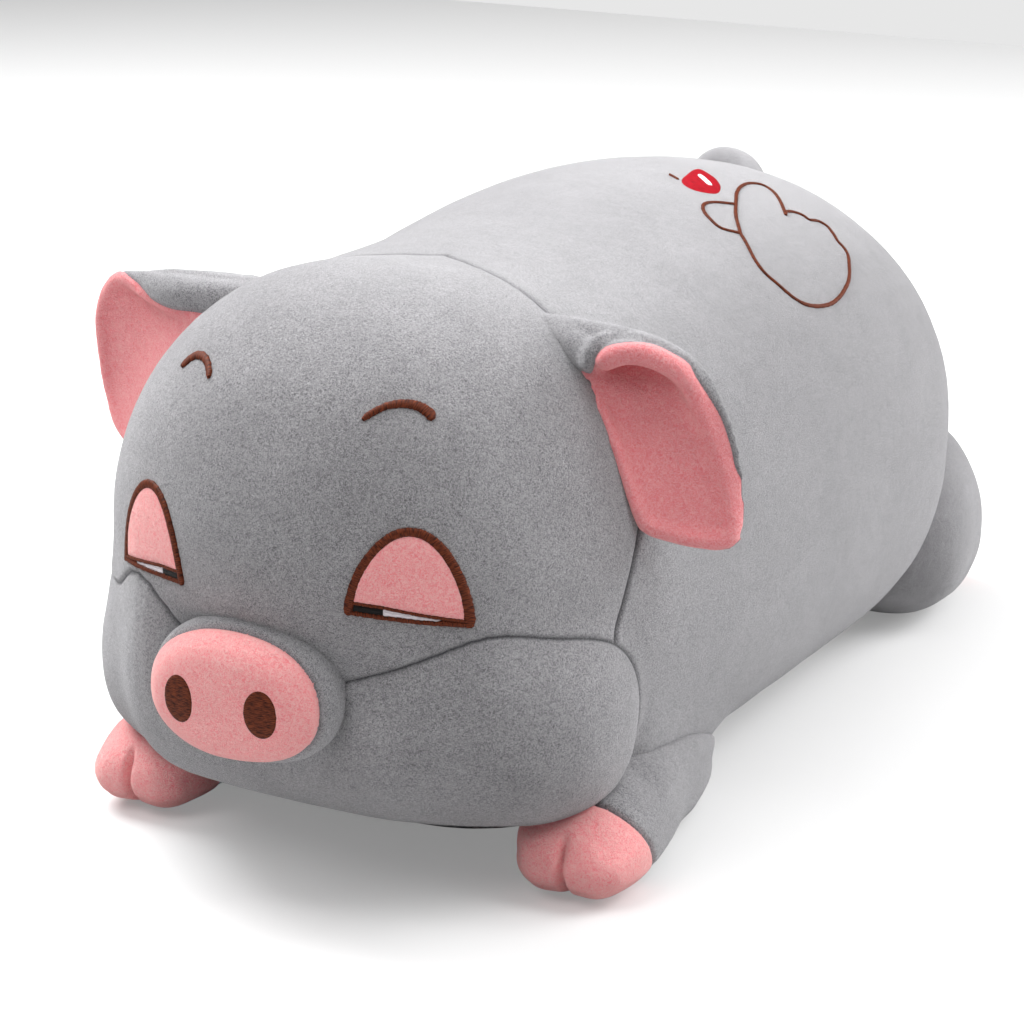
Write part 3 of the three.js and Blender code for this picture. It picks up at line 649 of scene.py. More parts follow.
def makePillow(p):
    body = loft(bodyStations, 110, 12, alongY, -p["start"])
    muzzle = loft(muzzleStations, 72, 8, alongX, -p["start"])
    cover = joinedParts("pillow_cover", [body, muzzle])
    remeshed(cover, p["voxel"])
    points = pointsOf(cover)
    lead, neck, _ = seamFields(points)
    gap = farFrom(seamLines(cover, lead, neck), points)
    held = np.maximum(1 - ramp(gap, *p["seamHold"]), 1 - ramp(points[:, 2], *p["floorHold"]))
    stuffed(cover, held, p["pressure"], p["cap"])
    subdivided(cover)
    points, normals = pointsOf(cover), normalsOf(cover)
    lead, neck, far = seamFields(points)
    farCheek = ramp(-points[:, 0], *p["farCheek"])
    fill = filled(lead, p["cheekFill"] + (p["farCheekFill"] - p["cheekFill"]) * farCheek)
    onTorso = ramp(-lead, *p["torsoEdge"])
    for form, leg in legForms:
        legFar, legWay = form.distance(points)
        above = clearOfFloor(points, legWay, leg)
        fill = np.maximum(fill, filled(legFar, leg["torsoFill"]) * above * onTorso)
    points += normals * (fill - far * p["trueness"])[:, None]
    points[:, 2] = np.maximum(points[:, 2], 0)
    movePoints(cover, points)
    for reach in p["fineWithin"]:
        points = pointsOf(cover)
        lead, neck, _ = seamFields(points)
        refined(cover, farFrom(seamLines(cover, lead, neck), points) < reach)
    lead, neck, _ = seamFields(pointsOf(cover))
    lead = snapped(cover, lead)
    neck = snapped(cover, np.where(lead > 0, 5, neck))
    points, normals = pointsOf(cover), normalsOf(cover)
    sewn = (lead == 0) | ((neck == 0) & (lead < 0))
    gap = farFrom(points[sewn], points)
    # the seam round the muzzle lies softer on the far cheek
    tight = 1 - p["slack"] * ramp(-points[:, 0], *p["slackSide"]) * ramp(neck, *p["slackHead"])
    groove = p["seamDepth"] * bell(gap, p["seamWidth"]) + p["softDepth"] * np.exp(-gap / p["softReach"])
    groove *= tight
    pucker = p["pucker"] * np.exp(-gap / p["puckerReach"]) * (1 - np.exp(-gap / p["puckerGap"]))
    pucker *= lumps(points, p["puckerSize"], 3)
    bulge = p["lump"] * lumps(points, p["lumpSize"], 11)
    bulge += p["smallLump"] * lumps(points, p["smallLumpSize"], 5)
    above = ramp(points[:, 2], *p["lumpsAbove"])
    points += normals * ((bulge + pucker) * above - groove)[:, None]
    points[:, 2] = np.maximum(points[:, 2], 0)
    movePoints(cover, points)
    # painted shade along the seams: a fine dark line in the crease and a softer shade beside it
    dark = bell(gap, p["seamLineShadeWidth"]) * p["seamLineShade"] + p["seamSoftShade"] * np.exp(-gap / p["seamSoftShadeReach"])
    setValue(cover, "seam", dark * tight)
    onMuzzle = faceSum(cover, lead) > 0
    onHead = ~onMuzzle & (faceSum(cover, np.where(lead > 0, 0, neck)) > 0)
    whole = Form(points, facesOf(cover))
    return whole, *cutApart(cover, {
        "muzzle_plush": onMuzzle, "head_plush": onHead, "torso_plush": ~onMuzzle & ~onHead})


pillowForm, muzzlePanel, headPanel, torsoPanel = makePillow(pillow)
for piece, replaced in (
        (muzzlePanel, "muzzle_cover"), (headPanel, "head_cover"),
        (torsoPanel, ["torso_cover", "body_stuffing"])):
    finished(piece, replaced, "pillow", greyPlush, "grey_plush")
print("torso, head and muzzle stuffed")

# snout
snout = {
    "middle": -4, "seam": -257, "voxel": 2.2, "puff": 0.9, "puffAt": 7, "puffWidth": 5, "grooveDepth": 1.3,
    "grooveWidth": 1.5, "lump": 0.5, "lumpSize": 22, "seamLineShade": 0.6, "seamLineShadeWidth": 0.8,
    "stations": [
        [-271, 0, 95, 95, 2, 2], [-268.5, 25, 110.5, 77, 2.1, 2.1], [-262, 36, 118, 68, 2.2, 2.2],
        [-252, 41, 122, 64, 2.2, 2.2], [-232, 41.5, 123, 62, 2.2, 2.2], [-212, 41.5, 123, 62, 2.2, 2.2],
        [-205, 0, 95, 95, 2.2, 2.2]],
}


def makeSnout(s):
    points, faces = loft(s["stations"], 120, 10, lambda a, c, u: (s["middle"] + c, a, u))
    cover = newPiece("snout_cover", points, faces)
    remeshed(cover, s["voxel"])
    subdivided(cover)
    field = snapped(cover, pointsOf(cover)[:, 1] - s["seam"])
    points, normals = pointsOf(cover), normalsOf(cover)
    gap = np.abs(field)
    swell = s["puff"] * bell(gap - s["puffAt"], s["puffWidth"])
    swell -= s["grooveDepth"] * bell(gap, s["grooveWidth"])
    swell += s["lump"] * lumps(points, s["lumpSize"], 2)
    points += normals * swell[:, None]
    movePoints(cover, points)
    # painted shade: a fine dark line in the groove of the seam round the snout
    setValue(cover, "seam", s["seamLineShade"] * bell(gap, s["seamLineShadeWidth"]))
    ahead = faceSum(cover, field) < 0
    form = Form(points, facesOf(cover))
    return form, *cutApart(cover, {"snout_face_plush": ahead, "snout_band_plush": ~ahead})


snoutForm, snoutFace, snoutBand = makeSnout(snout)
finished(snoutFace, ["snout_face", "snout_stuffing"], "pillow", pinkPlush, "pink_plush")
finished(snoutBand, "snout_band", "pillow", greyPlush, "grey_plush")
print("snout stuffed")


# embroidery
sightStart = 120


def drawnOn(form, origin, right, up):
    # lays a flat drawing on a form: right and up span the drawing, sight looks at the form
    origin, right, up = Vector(origin), Vector(right), Vector(up)
    sight = up.cross(right).normalized()

    def at(a, b, height):
        start = origin + right * a + up * b - sight * sightStart
        hit, normal, _, _ = form.tree.ray_cast(start, sight)
        if hit is None:
            hit, normal, _, _ = form.tree.find_nearest(start + sight * sightStart)
        if normal.dot(sight) > 0:
            normal = -normal
        return tuple(hit + normal * height)

    return at


def resampled(path, step, closed=False):
    # a smooth run through the given points at even steps
    p = np.array(path, float)
    ends = (p[-1], p[0], p[1]) if closed else (2 * p[0] - p[1], 2 * p[-1] - p[-2])
    fine = curved(np.vstack([ends[0], p, *ends[1:]]), 24)
    far = walked(fine)
    even = np.linspace(0, far[-1], max(3, int(far[-1] / step) + 1))
    return picked(fine, far, even), even


stitch = {"step": 0.55, "ragged": 0.16, "lift": 0.08, "sunk": 0.4, "tip": 0.55, "tipGrow": 0.45, "off": 0.05,
          "rim": 0.9}
bandProfile = [(-1, -0.3), (-1, 0.35), (-0.72, 0.8), (-0.3, 1), (0.3, 1), (0.72, 0.8), (1, 0.35), (1, -0.3)]


def satin(at, paths):
    # raised bands of stitches; each path is (points, half width, height, smooth)
    points, faces, places = [], [], []
    step, n = stitch["step"], len(bandProfile)
    for path, half, height, smooth in paths:
        if smooth:
            line, far = resampled(path, step)
        else:
            corners = np.array(path, float)
            walk = walked(corners)
            far = np.linspace(0, walk[-1], int(walk[-1] / step) + 1)
            line = picked(corners, walk, far)
        way = np.gradient(line, axis=0)
        way /= np.maximum(np.linalg.norm(way, axis=1), 1e-6)[:, None]
        side = np.stack([way[:, 1], -way[:, 0]], 1)
        first = len(points)
        ragged = rng.uniform(-stitch["ragged"], stitch["ragged"], (len(line), 2))
        for i in range(len(line)):
            end = min(i, len(line) - 1 - i) * step
            slim = min(1, stitch["tip"] + stitch["tipGrow"] * end / max(half, 0.1))
            for w, h in bandProfile:
                reach = w * (half + ragged[i][0 if w < 0 else 1]) * slim
                a, b = line[i] + side[i] * reach
                lift = h * height if h > 0 else -stitch["sunk"]
                points.append(at(a, b, lift + (stitch["lift"] if i % 2 else 0)))
                places.append((far[i], w * half))
        for i in range(len(line) - 1):
            for k in range(n - 1):
                a = first + i * n + k
                faces.append((a, a + 1, a + n + 1, a + n))
        faces.append(tuple(first + k for k in range(n))[::-1])
        last = first + (len(line) - 1) * n
        faces.append(tuple(last + k for k in range(n)))
    return points, faces, places


def region(at, low, high, from_, to, height, columns=40, rows=24):
    # a filled patch between the curves low(a) and high(a), rounded at its rim
    points, faces, places = [], [], []
    for i in range(columns + 1):
        a = from_ + (to - from_) * i / columns
        b0, b1 = low(a), high(a)
        for j in range(rows + 1):
            b = b0 + (b1 - b0) * j / rows
            rim = min(i, columns - i) / columns * abs(to - from_), min(j, rows - j) / rows * abs(b1 - b0)
            lift = height * (1 - math.exp(-min(rim) / stitch["rim"]))
            points.append(at(a, b, lift + stitch["off"]))
            places.append((b, a))
    for i in range(columns):
        for j in range(rows):
            k = i * (rows + 1) + j
            faces.append((k, k + rows + 1, k + rows + 2, k + 1))
    return points, faces, places


def laidOn(name, node, made, material, slotName):
    points, faces, places = made
    obj = outward(newPiece(name, points, faces))
    layer = obj.data.uv_layers.new(name="threads")
    index = readOff(obj.data.loops, "vertex_index", 1, np.int32)[:, 0]
    layer.data.foreach_set("uv", np.asarray(places, np.float32)[index].ravel())
    return finished(obj, node, "pillow", material, slotName)


def stitched(node, made, colour, name=None):
    laidOn(name or f"{node}_stitching", node, made, threads[colour], f"{colour}_thread")


eye = {
    "half": 22, "height": 38, "lean": 0.05, "border": 3.4, "footBorder": 1.9, "slit": 4.6,
    "slitEndHeight": 2.6, "slitEnd": 11, "slitSplit": -7.8, "lash": 1.3, "arch": 1.25, "bandLift": 1.1,
    "lidLift": 0.9, "slitLift": 0.5,
}
brow = {"rise": 5.6, "width": 2.6, "lift": 1.1}
faceSides = [
    {"name": "left", "side": 1, "eyeMiddle": 62.3, "eyeFoot": 128.1, "eyeTilt": -0.14, "eyeShare": 1.015,
     "browMiddle": 50, "browHalf": 12, "browFoot": 204},
    {"name": "right", "side": -1, "eyeMiddle": 52.3, "eyeFoot": 131.3, "eyeTilt": -0.02, "eyeShare": 0.93,
     "browMiddle": 44, "browHalf": 9.5, "browFoot": 210.5},
]


onFace = drawnOn(pillowForm, (0, -200, 0), (1, 0, 0), (0, 0, 1))
onSnout = drawnOn(snoutForm, (0, -240, 0), (1, 0, 0), (0, 0, 1))


def makeEye(sides, e):
    sideName = sides["name"]

    def spot(a, b, height):
        # the eye's own drawing, leaned and mirrored onto the face
        across = sides["eyeMiddle"] + a * sides["eyeShare"] + e["lean"] * b
        return onFace(sides["side"] * across, sides["eyeFoot"] + b + sides["eyeTilt"] * a, height)

    def archLine(inset):
        half, rise = e["half"] - inset, e["height"] - inset
        return [(half * math.cos(t), rise * np.sign(math.sin(t)) * abs(math.sin(t)) ** e["arch"])
                for t in np.linspace(0, math.pi, 70)]

    def archAt(a, inset):
        half, rise = e["half"] - inset, e["height"] - inset
        return rise * max(0, 1 - (a / half) ** 2) ** (e["arch"] / 2)

    def slit(a):
        fall = (e["slit"] - e["slitEndHeight"]) / (e["slitEnd"] - e["slitSplit"])
        return e["slit"] - fall * max(0, a - e["slitSplit"])

    half = e["border"] / 2
    foot = [(-e["half"] + 0.4, e["footBorder"] / 2), (e["half"] - 0.4, e["footBorder"] / 2)]
    inner = e["half"] - e["border"]
    lash = [(a, slit(a) + e["lash"] / 2) for a in np.linspace(-inner - 0.8, inner + 0.8, 12)]
    end = [(e["slitEnd"] - 0.2, slit(e["slitEnd"]) * 0.55), (inner + 0.6, slit(inner) * 0.5)]
    border = satin(spot, [
        (foot, e["footBorder"] / 2, e["bandLift"] * 0.9, False),
        (end, 1.1, e["bandLift"] * 0.7, False),
        (lash, e["lash"] / 2, e["bandLift"] * 0.9, False),
        (archLine(half), half, e["bandLift"], False)])
    stitched(f"eye_border_{sideName}", border, "brown")
    reach = inner + 0.3

    def lidLow(a):
        return min(slit(a) + e["lash"] * 0.6, archAt(a, e["border"] - 0.6))

    def lidHigh(a):
        return max(archAt(a, e["border"] - 0.9), slit(a) + e["lash"] * 0.6 if abs(a) < inner else 0)

    lid = region(spot, lidLow, lidHigh, -reach, reach, e["lidLift"])
    piece = laidOn(f"eyelid_{sideName}_plush", f"eyelid_{sideName}", lid, pinkPlush, "pink_plush")
    setValue(piece, "seam", np.zeros(len(piece.data.vertices)))
    base = e["footBorder"] * 0.7
    for colour, from_, to, columns in (
            ("black", -inner - 0.3, e["slitSplit"], 20), ("white", e["slitSplit"], e["slitEnd"], 30)):
        made = region(spot, lambda a: base, lambda a: slit(a) + 0.3, from_, to, e["slitLift"], columns, 8)
        stitched(f"eye_{colour}_{sideName}", made, colour)


def makeBrow(sides, b):
    half = sides["browHalf"]
    radius = (half ** 2 + b["rise"] ** 2) / (2 * b["rise"])
    halfTurn = math.asin(half / radius)
    top = sides["browFoot"] + b["rise"] - radius
    arch = [(sides["side"] * (sides["browMiddle"] + radius * math.sin(t)), top + radius * math.cos(t))
            for t in np.linspace(-halfTurn, halfTurn, 40)]
    stitched(f"brow_{sides['name']}", satin(onFace, [(arch, b["width"] / 2, b["lift"], False)]), "brown")


nostril = {"spread": 19, "height": 92, "halfWidth": 7, "halfHeight": 10, "lift": 0.5}


def makeNostril(sides, n):
    middle, half = snout["middle"] + sides["side"] * n["spread"], n["halfWidth"]

    def rim(a, way):
        return n["height"] + way * n["halfHeight"] * math.sqrt(max(0, 1 - ((a - middle) / half) ** 2))

    low, high = middle - half, middle + half
    made = region(onSnout, lambda a: rim(a, -1), lambda a: rim(a, 1), low, high, n["lift"], 26, 30)
    stitched(f"nostril_{sides['name']}", made, "brown")


for sides in faceSides:
    makeEye(sides, eye)
    makeBrow(sides, brow)
    makeNostril(sides, nostril)
print("face stitched")

# embroidery on the back
backPatch = {
    "origin": (82.5, 81, 224.8), "right": (0, 1, 0), "up": (-0.9075, 0, 0.42), "half": 0.85, "lift": 0.8}
handStrokes = [
    [(-32, 8), (-17, 18), (2, 27), (15, 32), (27, 34.5), (37, 34.5), (44, 31), (42, 24.5), (33, 16.5),
     (18, 6.5)],
    [(18, 6.5), (23, 8.5), (29, 7), (33, 3.5), (33, -0.5)],
    [(33, -0.5), (40, -2.5), (43, -6.5), (41, -11), (36.5, -16.5)],
    [(36.5, -16.5), (35.5, -22), (29.5, -27.5), (11, -36.5), (-16, -40.5), (-38, -34.5), (-45.5, -20),
     (-45, -9), (-32, 8)],
    [(-32, 8), (-38.5, 16), (-33, 26.5), (-24, 32), (-15, 30.5), (-4.5, 24)],
]
heart = {
    "outline": [(-1, 54), (12, 57), (26.5, 59.5), (31.5, 58.5), (28, 53.5), (23.5, 48.5), (17.5, 43.5),
                (10.5, 39), (0.5, 35.5), (-5.5, 36.5), (-10, 42.5), (-8.5, 48.5)],
    "bar": [(15, 52), (3.5, 41.5)], "barWidth": 3.7, "lift": 0.9,
    "tail": [(-1.5, 55.5), (0.5, 58.5), (3, 62)], "tailHalf": 0.7,
}


def patchOf(at, outline, height):
    # a filled patch inside a closed smooth outline, domed from its rim
    rings = 7
    rim, _ = resampled(outline, 1.2, True)
    rim = rim[:-1]
    middle = rim.mean(axis=0)
    points, places = [], []
    for r in range(rings):
        share = 1 - r / rings
        lift = height * (1 - share ** 6) + stitch["off"]
        for p in rim:
            a, b = middle + (p - middle) * share
            points.append(at(a, b, lift))
            places.append((a, b))
    points.append(at(*middle, height))
    places.append(tuple(middle))
    n = len(rim)
    faces = bands(rings - 1, n)
    for k in range(n):
        faces.append(((rings - 1) * n + k, (rings - 1) * n + (k + 1) % n, rings * n))
    return points, faces, places


def makeBack(b, h):
    onBack = drawnOn(pillowForm, b["origin"], b["right"], b["up"])
    strokes = [(s, b["half"], b["lift"], True) for s in handStrokes]
    lines = satin(onBack, [*strokes, (h["tail"], h["tailHalf"], b["lift"], True)])
    stitched("hand_outline", lines, "brown")
    stitched("heart_red", patchOf(onBack, h["outline"], h["lift"]), "red", "heart_stitching")
    bar = satin(onBack, [(h["bar"], h["barWidth"] / 2, h["lift"] + 0.5, False)])
    stitched("heart_highlight", bar, "white")


makeBack(backPatch, heart)
print("back stitched")

# ears
earRoot = [
    (66, -125, 228), (76, -135, 223), (85, -142, 216), (92, -143, 208), (99, -143, 198), (105, -144.5, 186),
    (110, -146, 172), (114, -146, 160), (117, -143, 148),
]
ear = {
    "hollow": 4, "topHollow": 9, "down": 60, "across": 44, "voxel": 1.7, "liningInset": 2.4, "topInset": 4.5,
    "lining": 2.6, "backing": 3.2, "overlap": 0.4, "seamPlane": -133, "slide": (0.532, 0.368),
    "topAt": 0.2, "topWidth": 0.15, "topFade": (0.25, 0.6), "fineWithin": 2.5, "seamDepth": 0.7,
    "seamWidth": 1.1, "seamLineShade": 0.35, "seamLineShadeWidth": 0.8, "lump": 0.4, "lumpSize": 14,
    "hinge": [(66, -125, 226), (116, -144, 154)], "bendWay": (0.796, 0.411, 0.444), "bendTo": 9,
}
# grey meets pink at the seam, as the camera sees it; a roll is how flat it is, and its places and radii
ears = [
    {"name": "left", "side": 1, "wrap": 0.4,
     "seam": [(85, 206), (89, 205), (91.2, 207.8), (90.3, 210.6), (91.6, 213.7), (94.7, 217.4),
         (98.8, 219.6), (105.9, 221.7), (113.9, 222.7), (120.9, 222), (128, 219.6), (133.8, 216.6),
         (136.5, 212), (141.9, 204.9), (148.1, 196.2), (152.8, 184.9), (155.6, 175.3), (163, 164),
         (168, 150), (166, 136), (157, 128), (138, 128), (122, 131), (108, 138), (100, 150), (94, 170),
         (85, 186), (78, 197)],
     "rim": [(78, -126, 226), (108, -128, 225), (134, -128, 217), (149, -127, 196), (155, -126, 171),
         (157, -127, 148), (152, -130, 139), (136, -136, 140), (122, -141, 143)],
     "grey": [
         (0.9, [(60, -128, 228, 2), (72, -133, 224, 4.5), (84, -138, 219, 7), (93, -139, 215.5, 8.2),
             (100, -138, 216, 6.5)]),
         (1, [(101, -138, 226, 2.6), (97.5, -143.5, 223, 3.2), (94.8, -146.5, 216.5, 3.2),
             (95, -146.5, 210.5, 2.4)]),
         (1.2, [(68, -130, 226, 3), (85, -131.5, 224.8, 4.2), (100, -133, 223.3, 5), (115, -133, 221.5, 5),
             (127, -131, 216.3, 4.7), (136.5, -128.5, 207.8, 3.8), (143.5, -126.5, 196.5, 2.8),
             (149.5, -125.5, 183, 2.1), (153, -125, 168, 1.4)])],
     "pink": [
         (1, [(97, -144, 213.5, 4.4), (102.5, -145, 217.3, 5.2), (109, -144, 220.6, 5.4),
             (117, -142, 220.4, 5.2), (125.5, -138.5, 217, 4.9), (131.5, -134.5, 211, 4.4),
             (136.5, -131.5, 201, 3.9), (141, -129.5, 189, 3.5), (145.8, -128.5, 176, 3.3),
             (148.8, -128, 165, 3.2), (151.3, -128.5, 154, 3.3), (152, -130, 147, 3.6),
             (146, -133, 144, 3.5), (136, -137, 145, 3.4), (127, -141, 147.5, 3.3), (120, -145, 152, 3.2),
             (117, -147, 160, 3), (113, -148, 171, 3), (108, -147, 183, 3), (103, -146, 193, 2.8),
             (97, -145, 202, 2.4)])]},
    {"name": "right", "side": -1, "wrap": 1.6,
     "seam": [(139.5, 224.5), (134.6, 221), (131.1, 218.7), (127, 215.2), (122.5, 211.2), (115.8, 208.8),
         (109.1, 208), (101.3, 208.2), (86, 208.6), (60, 209), (60, 140), (110, 120), (150, 130),
         (175, 170), (172, 215), (150, 232)],
     "rim": [(78, -126, 226), (108, -128, 226), (138, -128, 221), (154, -127, 205), (157, -126, 186),
         (154, -127, 167), (147, -131, 151), (134, -136, 144), (122, -141, 145)],
     "grey": [
         (0.8, [(60, -130, 217.5, 9), (74, -134, 216.5, 9.5), (90, -136.5, 216.5, 9.5),
             (106, -136.5, 216.5, 9.3), (117, -135, 217.2, 8), (128, -132.5, 219.3, 5.4),
             (138, -129.5, 219.5, 3.2)]),
         (1, [(64, -128, 224, 3.4), (90, -129, 223.5, 3.6), (115, -129, 223, 3.4), (133, -128, 220, 2.4)])],
     "pink": [
         (1, [(122, -137, 213, 2.6), (129, -134, 217, 3.2), (136, -131.5, 219.5, 3.8),
             (143, -129.5, 218, 4.2), (150, -128.5, 210, 4), (153.5, -128, 199, 3.8),
             (153.5, -127.5, 186, 3.6), (150.5, -128.5, 168, 3.4), (144, -132, 154.5, 3.2),
             (134, -137, 148, 3), (123, -142, 149, 2.6)])]},
]


def ringsAround(line, radius, across, over, around):
    turn = np.linspace(0, 2 * math.pi, around, endpoint=False)[None, :, None]
    ring = np.cos(turn) * across[:, None] + np.sin(turn) * over[:, None]
    return (line[:, None] + radius[:, None, None] * ring).reshape(-1, 3)


def closedTube(flat, rows):
    # a round ended tube along rows of a place and its radius, flattened front to back
    around, steps = 20, 48
    shares = np.linspace(0, 1, steps + 1)
    run = smoothPath(rows, shares)
    line, radius = run[:, :3], run[:, 3]
    length = np.linalg.norm(np.diff(line, axis=0), axis=1).sum()
    fromEnd = np.minimum(shares, 1 - shares) * length
    radius = radius * np.sqrt(np.clip(1 - (1 - np.clip(fromEnd / radius, 0, 1)) ** 2, 0.002, 1))
    way = unit(np.gradient(line, axis=0))
    depth = unit(np.array([0, -1.0, 0]) - way * -way[:, 1:2])
    points = ringsAround(line, radius, np.cross(way, depth), flat * depth, around)
    ends = [tuple(range(around))[::-1], tuple(steps * around + k for k in range(around))]
    return points, ends + bands(steps, around)


def closedSheet(rows, ahead, behind, length):
    # a soft sheet around the rows of points, thinner at its rim
    down, across = rows.shape[0] - 1, rows.shape[1] - 1
    edge = np.minimum(length[:, None] * np.linspace(1, 0, across + 1)[None, :], 40)
    thick = np.sqrt(np.clip(edge / 3.5, 0.02, 1))
    front, back = rows.copy(), rows.copy()
    front[..., 1] -= ahead * thick
    back[..., 1] += behind * thick
    n = (down + 1) * (across + 1)
    points = np.vstack([front.reshape(-1, 3), back.reshape(-1, 3)])
    faces = []
    for i in range(down):
        for j in range(across):
            k = i * (across + 1) + j
            faces.append((k, k + 1, k + across + 2, k + across + 1))
            faces.append((n + k, n + k + across + 1, n + k + across + 2, n + k + 1))
    rim = list(range(across + 1)) + [i * (across + 1) + across for i in range(1, down + 1)]
    rim += [down * (across + 1) + j for j in range(across - 1, -1, -1)]
    rim += [i * (across + 1) for i in range(down - 1, 0, -1)]
    for a, b in zip(rim, rim[1:] + rim[:1]):
        faces.append((a, a + n, b + n, b))
    return points, faces


def insideOf(outline, places):
    # how far inside a closed outline the places lie, negative outside
    a, b = outline, np.roll(outline, -1, axis=0)
    way = b - a
    share = np.clip(((places[:, None] - a) * way).sum(2) / (way ** 2).sum(1), 0, 1)
    far = np.linalg.norm(places[:, None] - a - share[..., None] * way, axis=2).min(1)
    over = (a[:, 1] > places[:, 1:]) != (b[:, 1] > places[:, 1:])
    at = a[:, 0] + (places[:, 1:] - a[:, 1]) / np.where(way[:, 1] == 0, 1, way[:, 1]) * way[:, 0]
    within = (over & (places[:, :1] < at)).sum(1) % 2 == 1
    return np.where(within, far, -far)


def makeEar(e, own):
    u = np.linspace(0, 1, e["down"] + 1)
    rim = smoothPath(own["rim"], u)
    root = smoothPath(earRoot, u)
    length = np.linalg.norm(rim - root, axis=1)

    def rowsTo(inset):
        share = np.clip(1 - inset / length, 0.1, 1)[:, None]
        share = share * np.linspace(0, 1, e["across"] + 1)[None, :]
        rows = root[:, None] + (rim - root)[:, None] * share[..., None]
        deep = e["hollow"] * np.sin(math.pi * u)[:, None] * np.sin(math.pi * share)
        topDeep = e["topHollow"] * bell(u - e["topAt"], e["topWidth"])[:, None]
        topDeep = topDeep * np.sin(math.pi * share ** 0.7)
        rows[..., 1] += deep + topDeep
        return rows

    def oriented(part):
        made = outward(newPiece("part", *part))
        faces = facesOf(made)
        bpy.data.objects.remove(made)
        return np.asarray(part[0]), faces

    def sewnParts(sheet, rolls):
        return [oriented(part) for part in [sheet, *(closedTube(*roll) for roll in rolls)]]

    middle = rowsTo(0)
    wide = e["across"] + 1
    cells = [(i * wide + j, i * wide + j + 1, (i + 1) * wide + j + 1, (i + 1) * wide + j)
             for i in range(e["down"]) for j in range(e["across"])]
    tree = BVHTree.FromPolygons([tuple(p) for p in middle.reshape(-1, 3)], cells)
    outline = smoothPath(own["seam"] + own["seam"][:1], np.linspace(0, 1, 120, endpoint=False))

    def pinkness(points):
        # the pink lies inside a line drawn on the ear as the camera sees it, and in front of its middle
        slide = points[:, 1] - e["seamPlane"]
        seen = points[:, [0, 2]] + slide[:, None] * np.array([own["side"] * e["slide"][0], e["slide"][1]])
        ahead = np.array([tree.find_nearest(p)[0].y - p[1] for p in points.tolist()])
        return np.minimum(insideOf(outline, seen), ahead + own["wrap"])

    greyParts = sewnParts(closedSheet(middle, 0, e["backing"], length), own["grey"])
    inset = e["liningInset"] + e["topInset"] * (1 - ramp(u, *e["topFade"]))
    pinkParts = sewnParts(closedSheet(rowsTo(inset), e["lining"], e["overlap"], length), own["pink"])
    cover = joinedParts(f"ear_{own['name']}_whole", greyParts + pinkParts)
    remeshed(cover, e["voxel"])
    smoother = cover.modifiers.new("softer", "SMOOTH")
    smoother.factor, smoother.iterations = 0.5, 7
    applied(cover)
    subdivided(cover)
    points = pointsOf(cover)
    refined(cover, np.abs(evened(cover, pinkness(points), 2)) < e["fineWithin"])
    field = snapped(cover, evened(cover, pinkness(pointsOf(cover)), 4))
    points, normals = pointsOf(cover), normalsOf(cover)
    gap = np.abs(field)
    swell = e["lump"] * lumps(points, e["lumpSize"], 6) - e["seamDepth"] * bell(gap, e["seamWidth"])
    points += normals * swell[:, None]
    points[:, 0] *= own["side"]
    movePoints(cover, points)
    if own["side"] < 0:
        cover.data.flip_normals()
    # painted shade: a dark line in the groove of the seam between back and lining
    setValue(cover, "seam", e["seamLineShade"] * bell(gap, e["seamLineShadeWidth"]))
    onPink = faceSum(cover, field) > 0
    liningNode, backNode = f"ear_lining_{own['name']}", f"ear_back_{own['name']}"
    lining, backing = cutApart(cover, {f"{liningNode}_plush": onPink, f"{backNode}_plush": ~onPink})
    start = (np.array(e["hinge"][0]) + np.array(e["hinge"][1])) / 2
    end = start + np.array(e["bendWay"]) * e["bendTo"]
    for piece, node, material, slotName in (
            (lining, liningNode, shadedEarPlush, "pink_plush"), (backing, backNode, greyPlush, "grey_plush")):
        finished(piece, node, None, material, slotName)
        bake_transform(piece)


for own in ears:
    makeEar(ear, own)
print("ears sewn")

# legs
legSewing = {
    "voxel": 3, "pressure": 4, "cap": 1.6, "trueness": 0.7, "seamHold": (1, 5), "floorHold": (2, 4),
    "seamDepth": 1.2, "seamWidth": 1.5, "softDepth": 0.8, "softReach": 6, "lump": 0.5, "lumpSize": 26,
    "lobeAt": 13, "lobeWidth": 7, "toeSeamDepth": 0.8, "rootWidth": 2.5, "lowest": 0.4, "bendHeight": 20,
    "fineAcross": 7, "fineSeam": 4, "toeLean": 0.6, "toeFrom": 4, "toeFull": -8, "pastSeam": (6, 16),
    "rimWidth": 1.1, "steep": (0.92, 0.5), "liftedAbove": (0.5, 6),
}


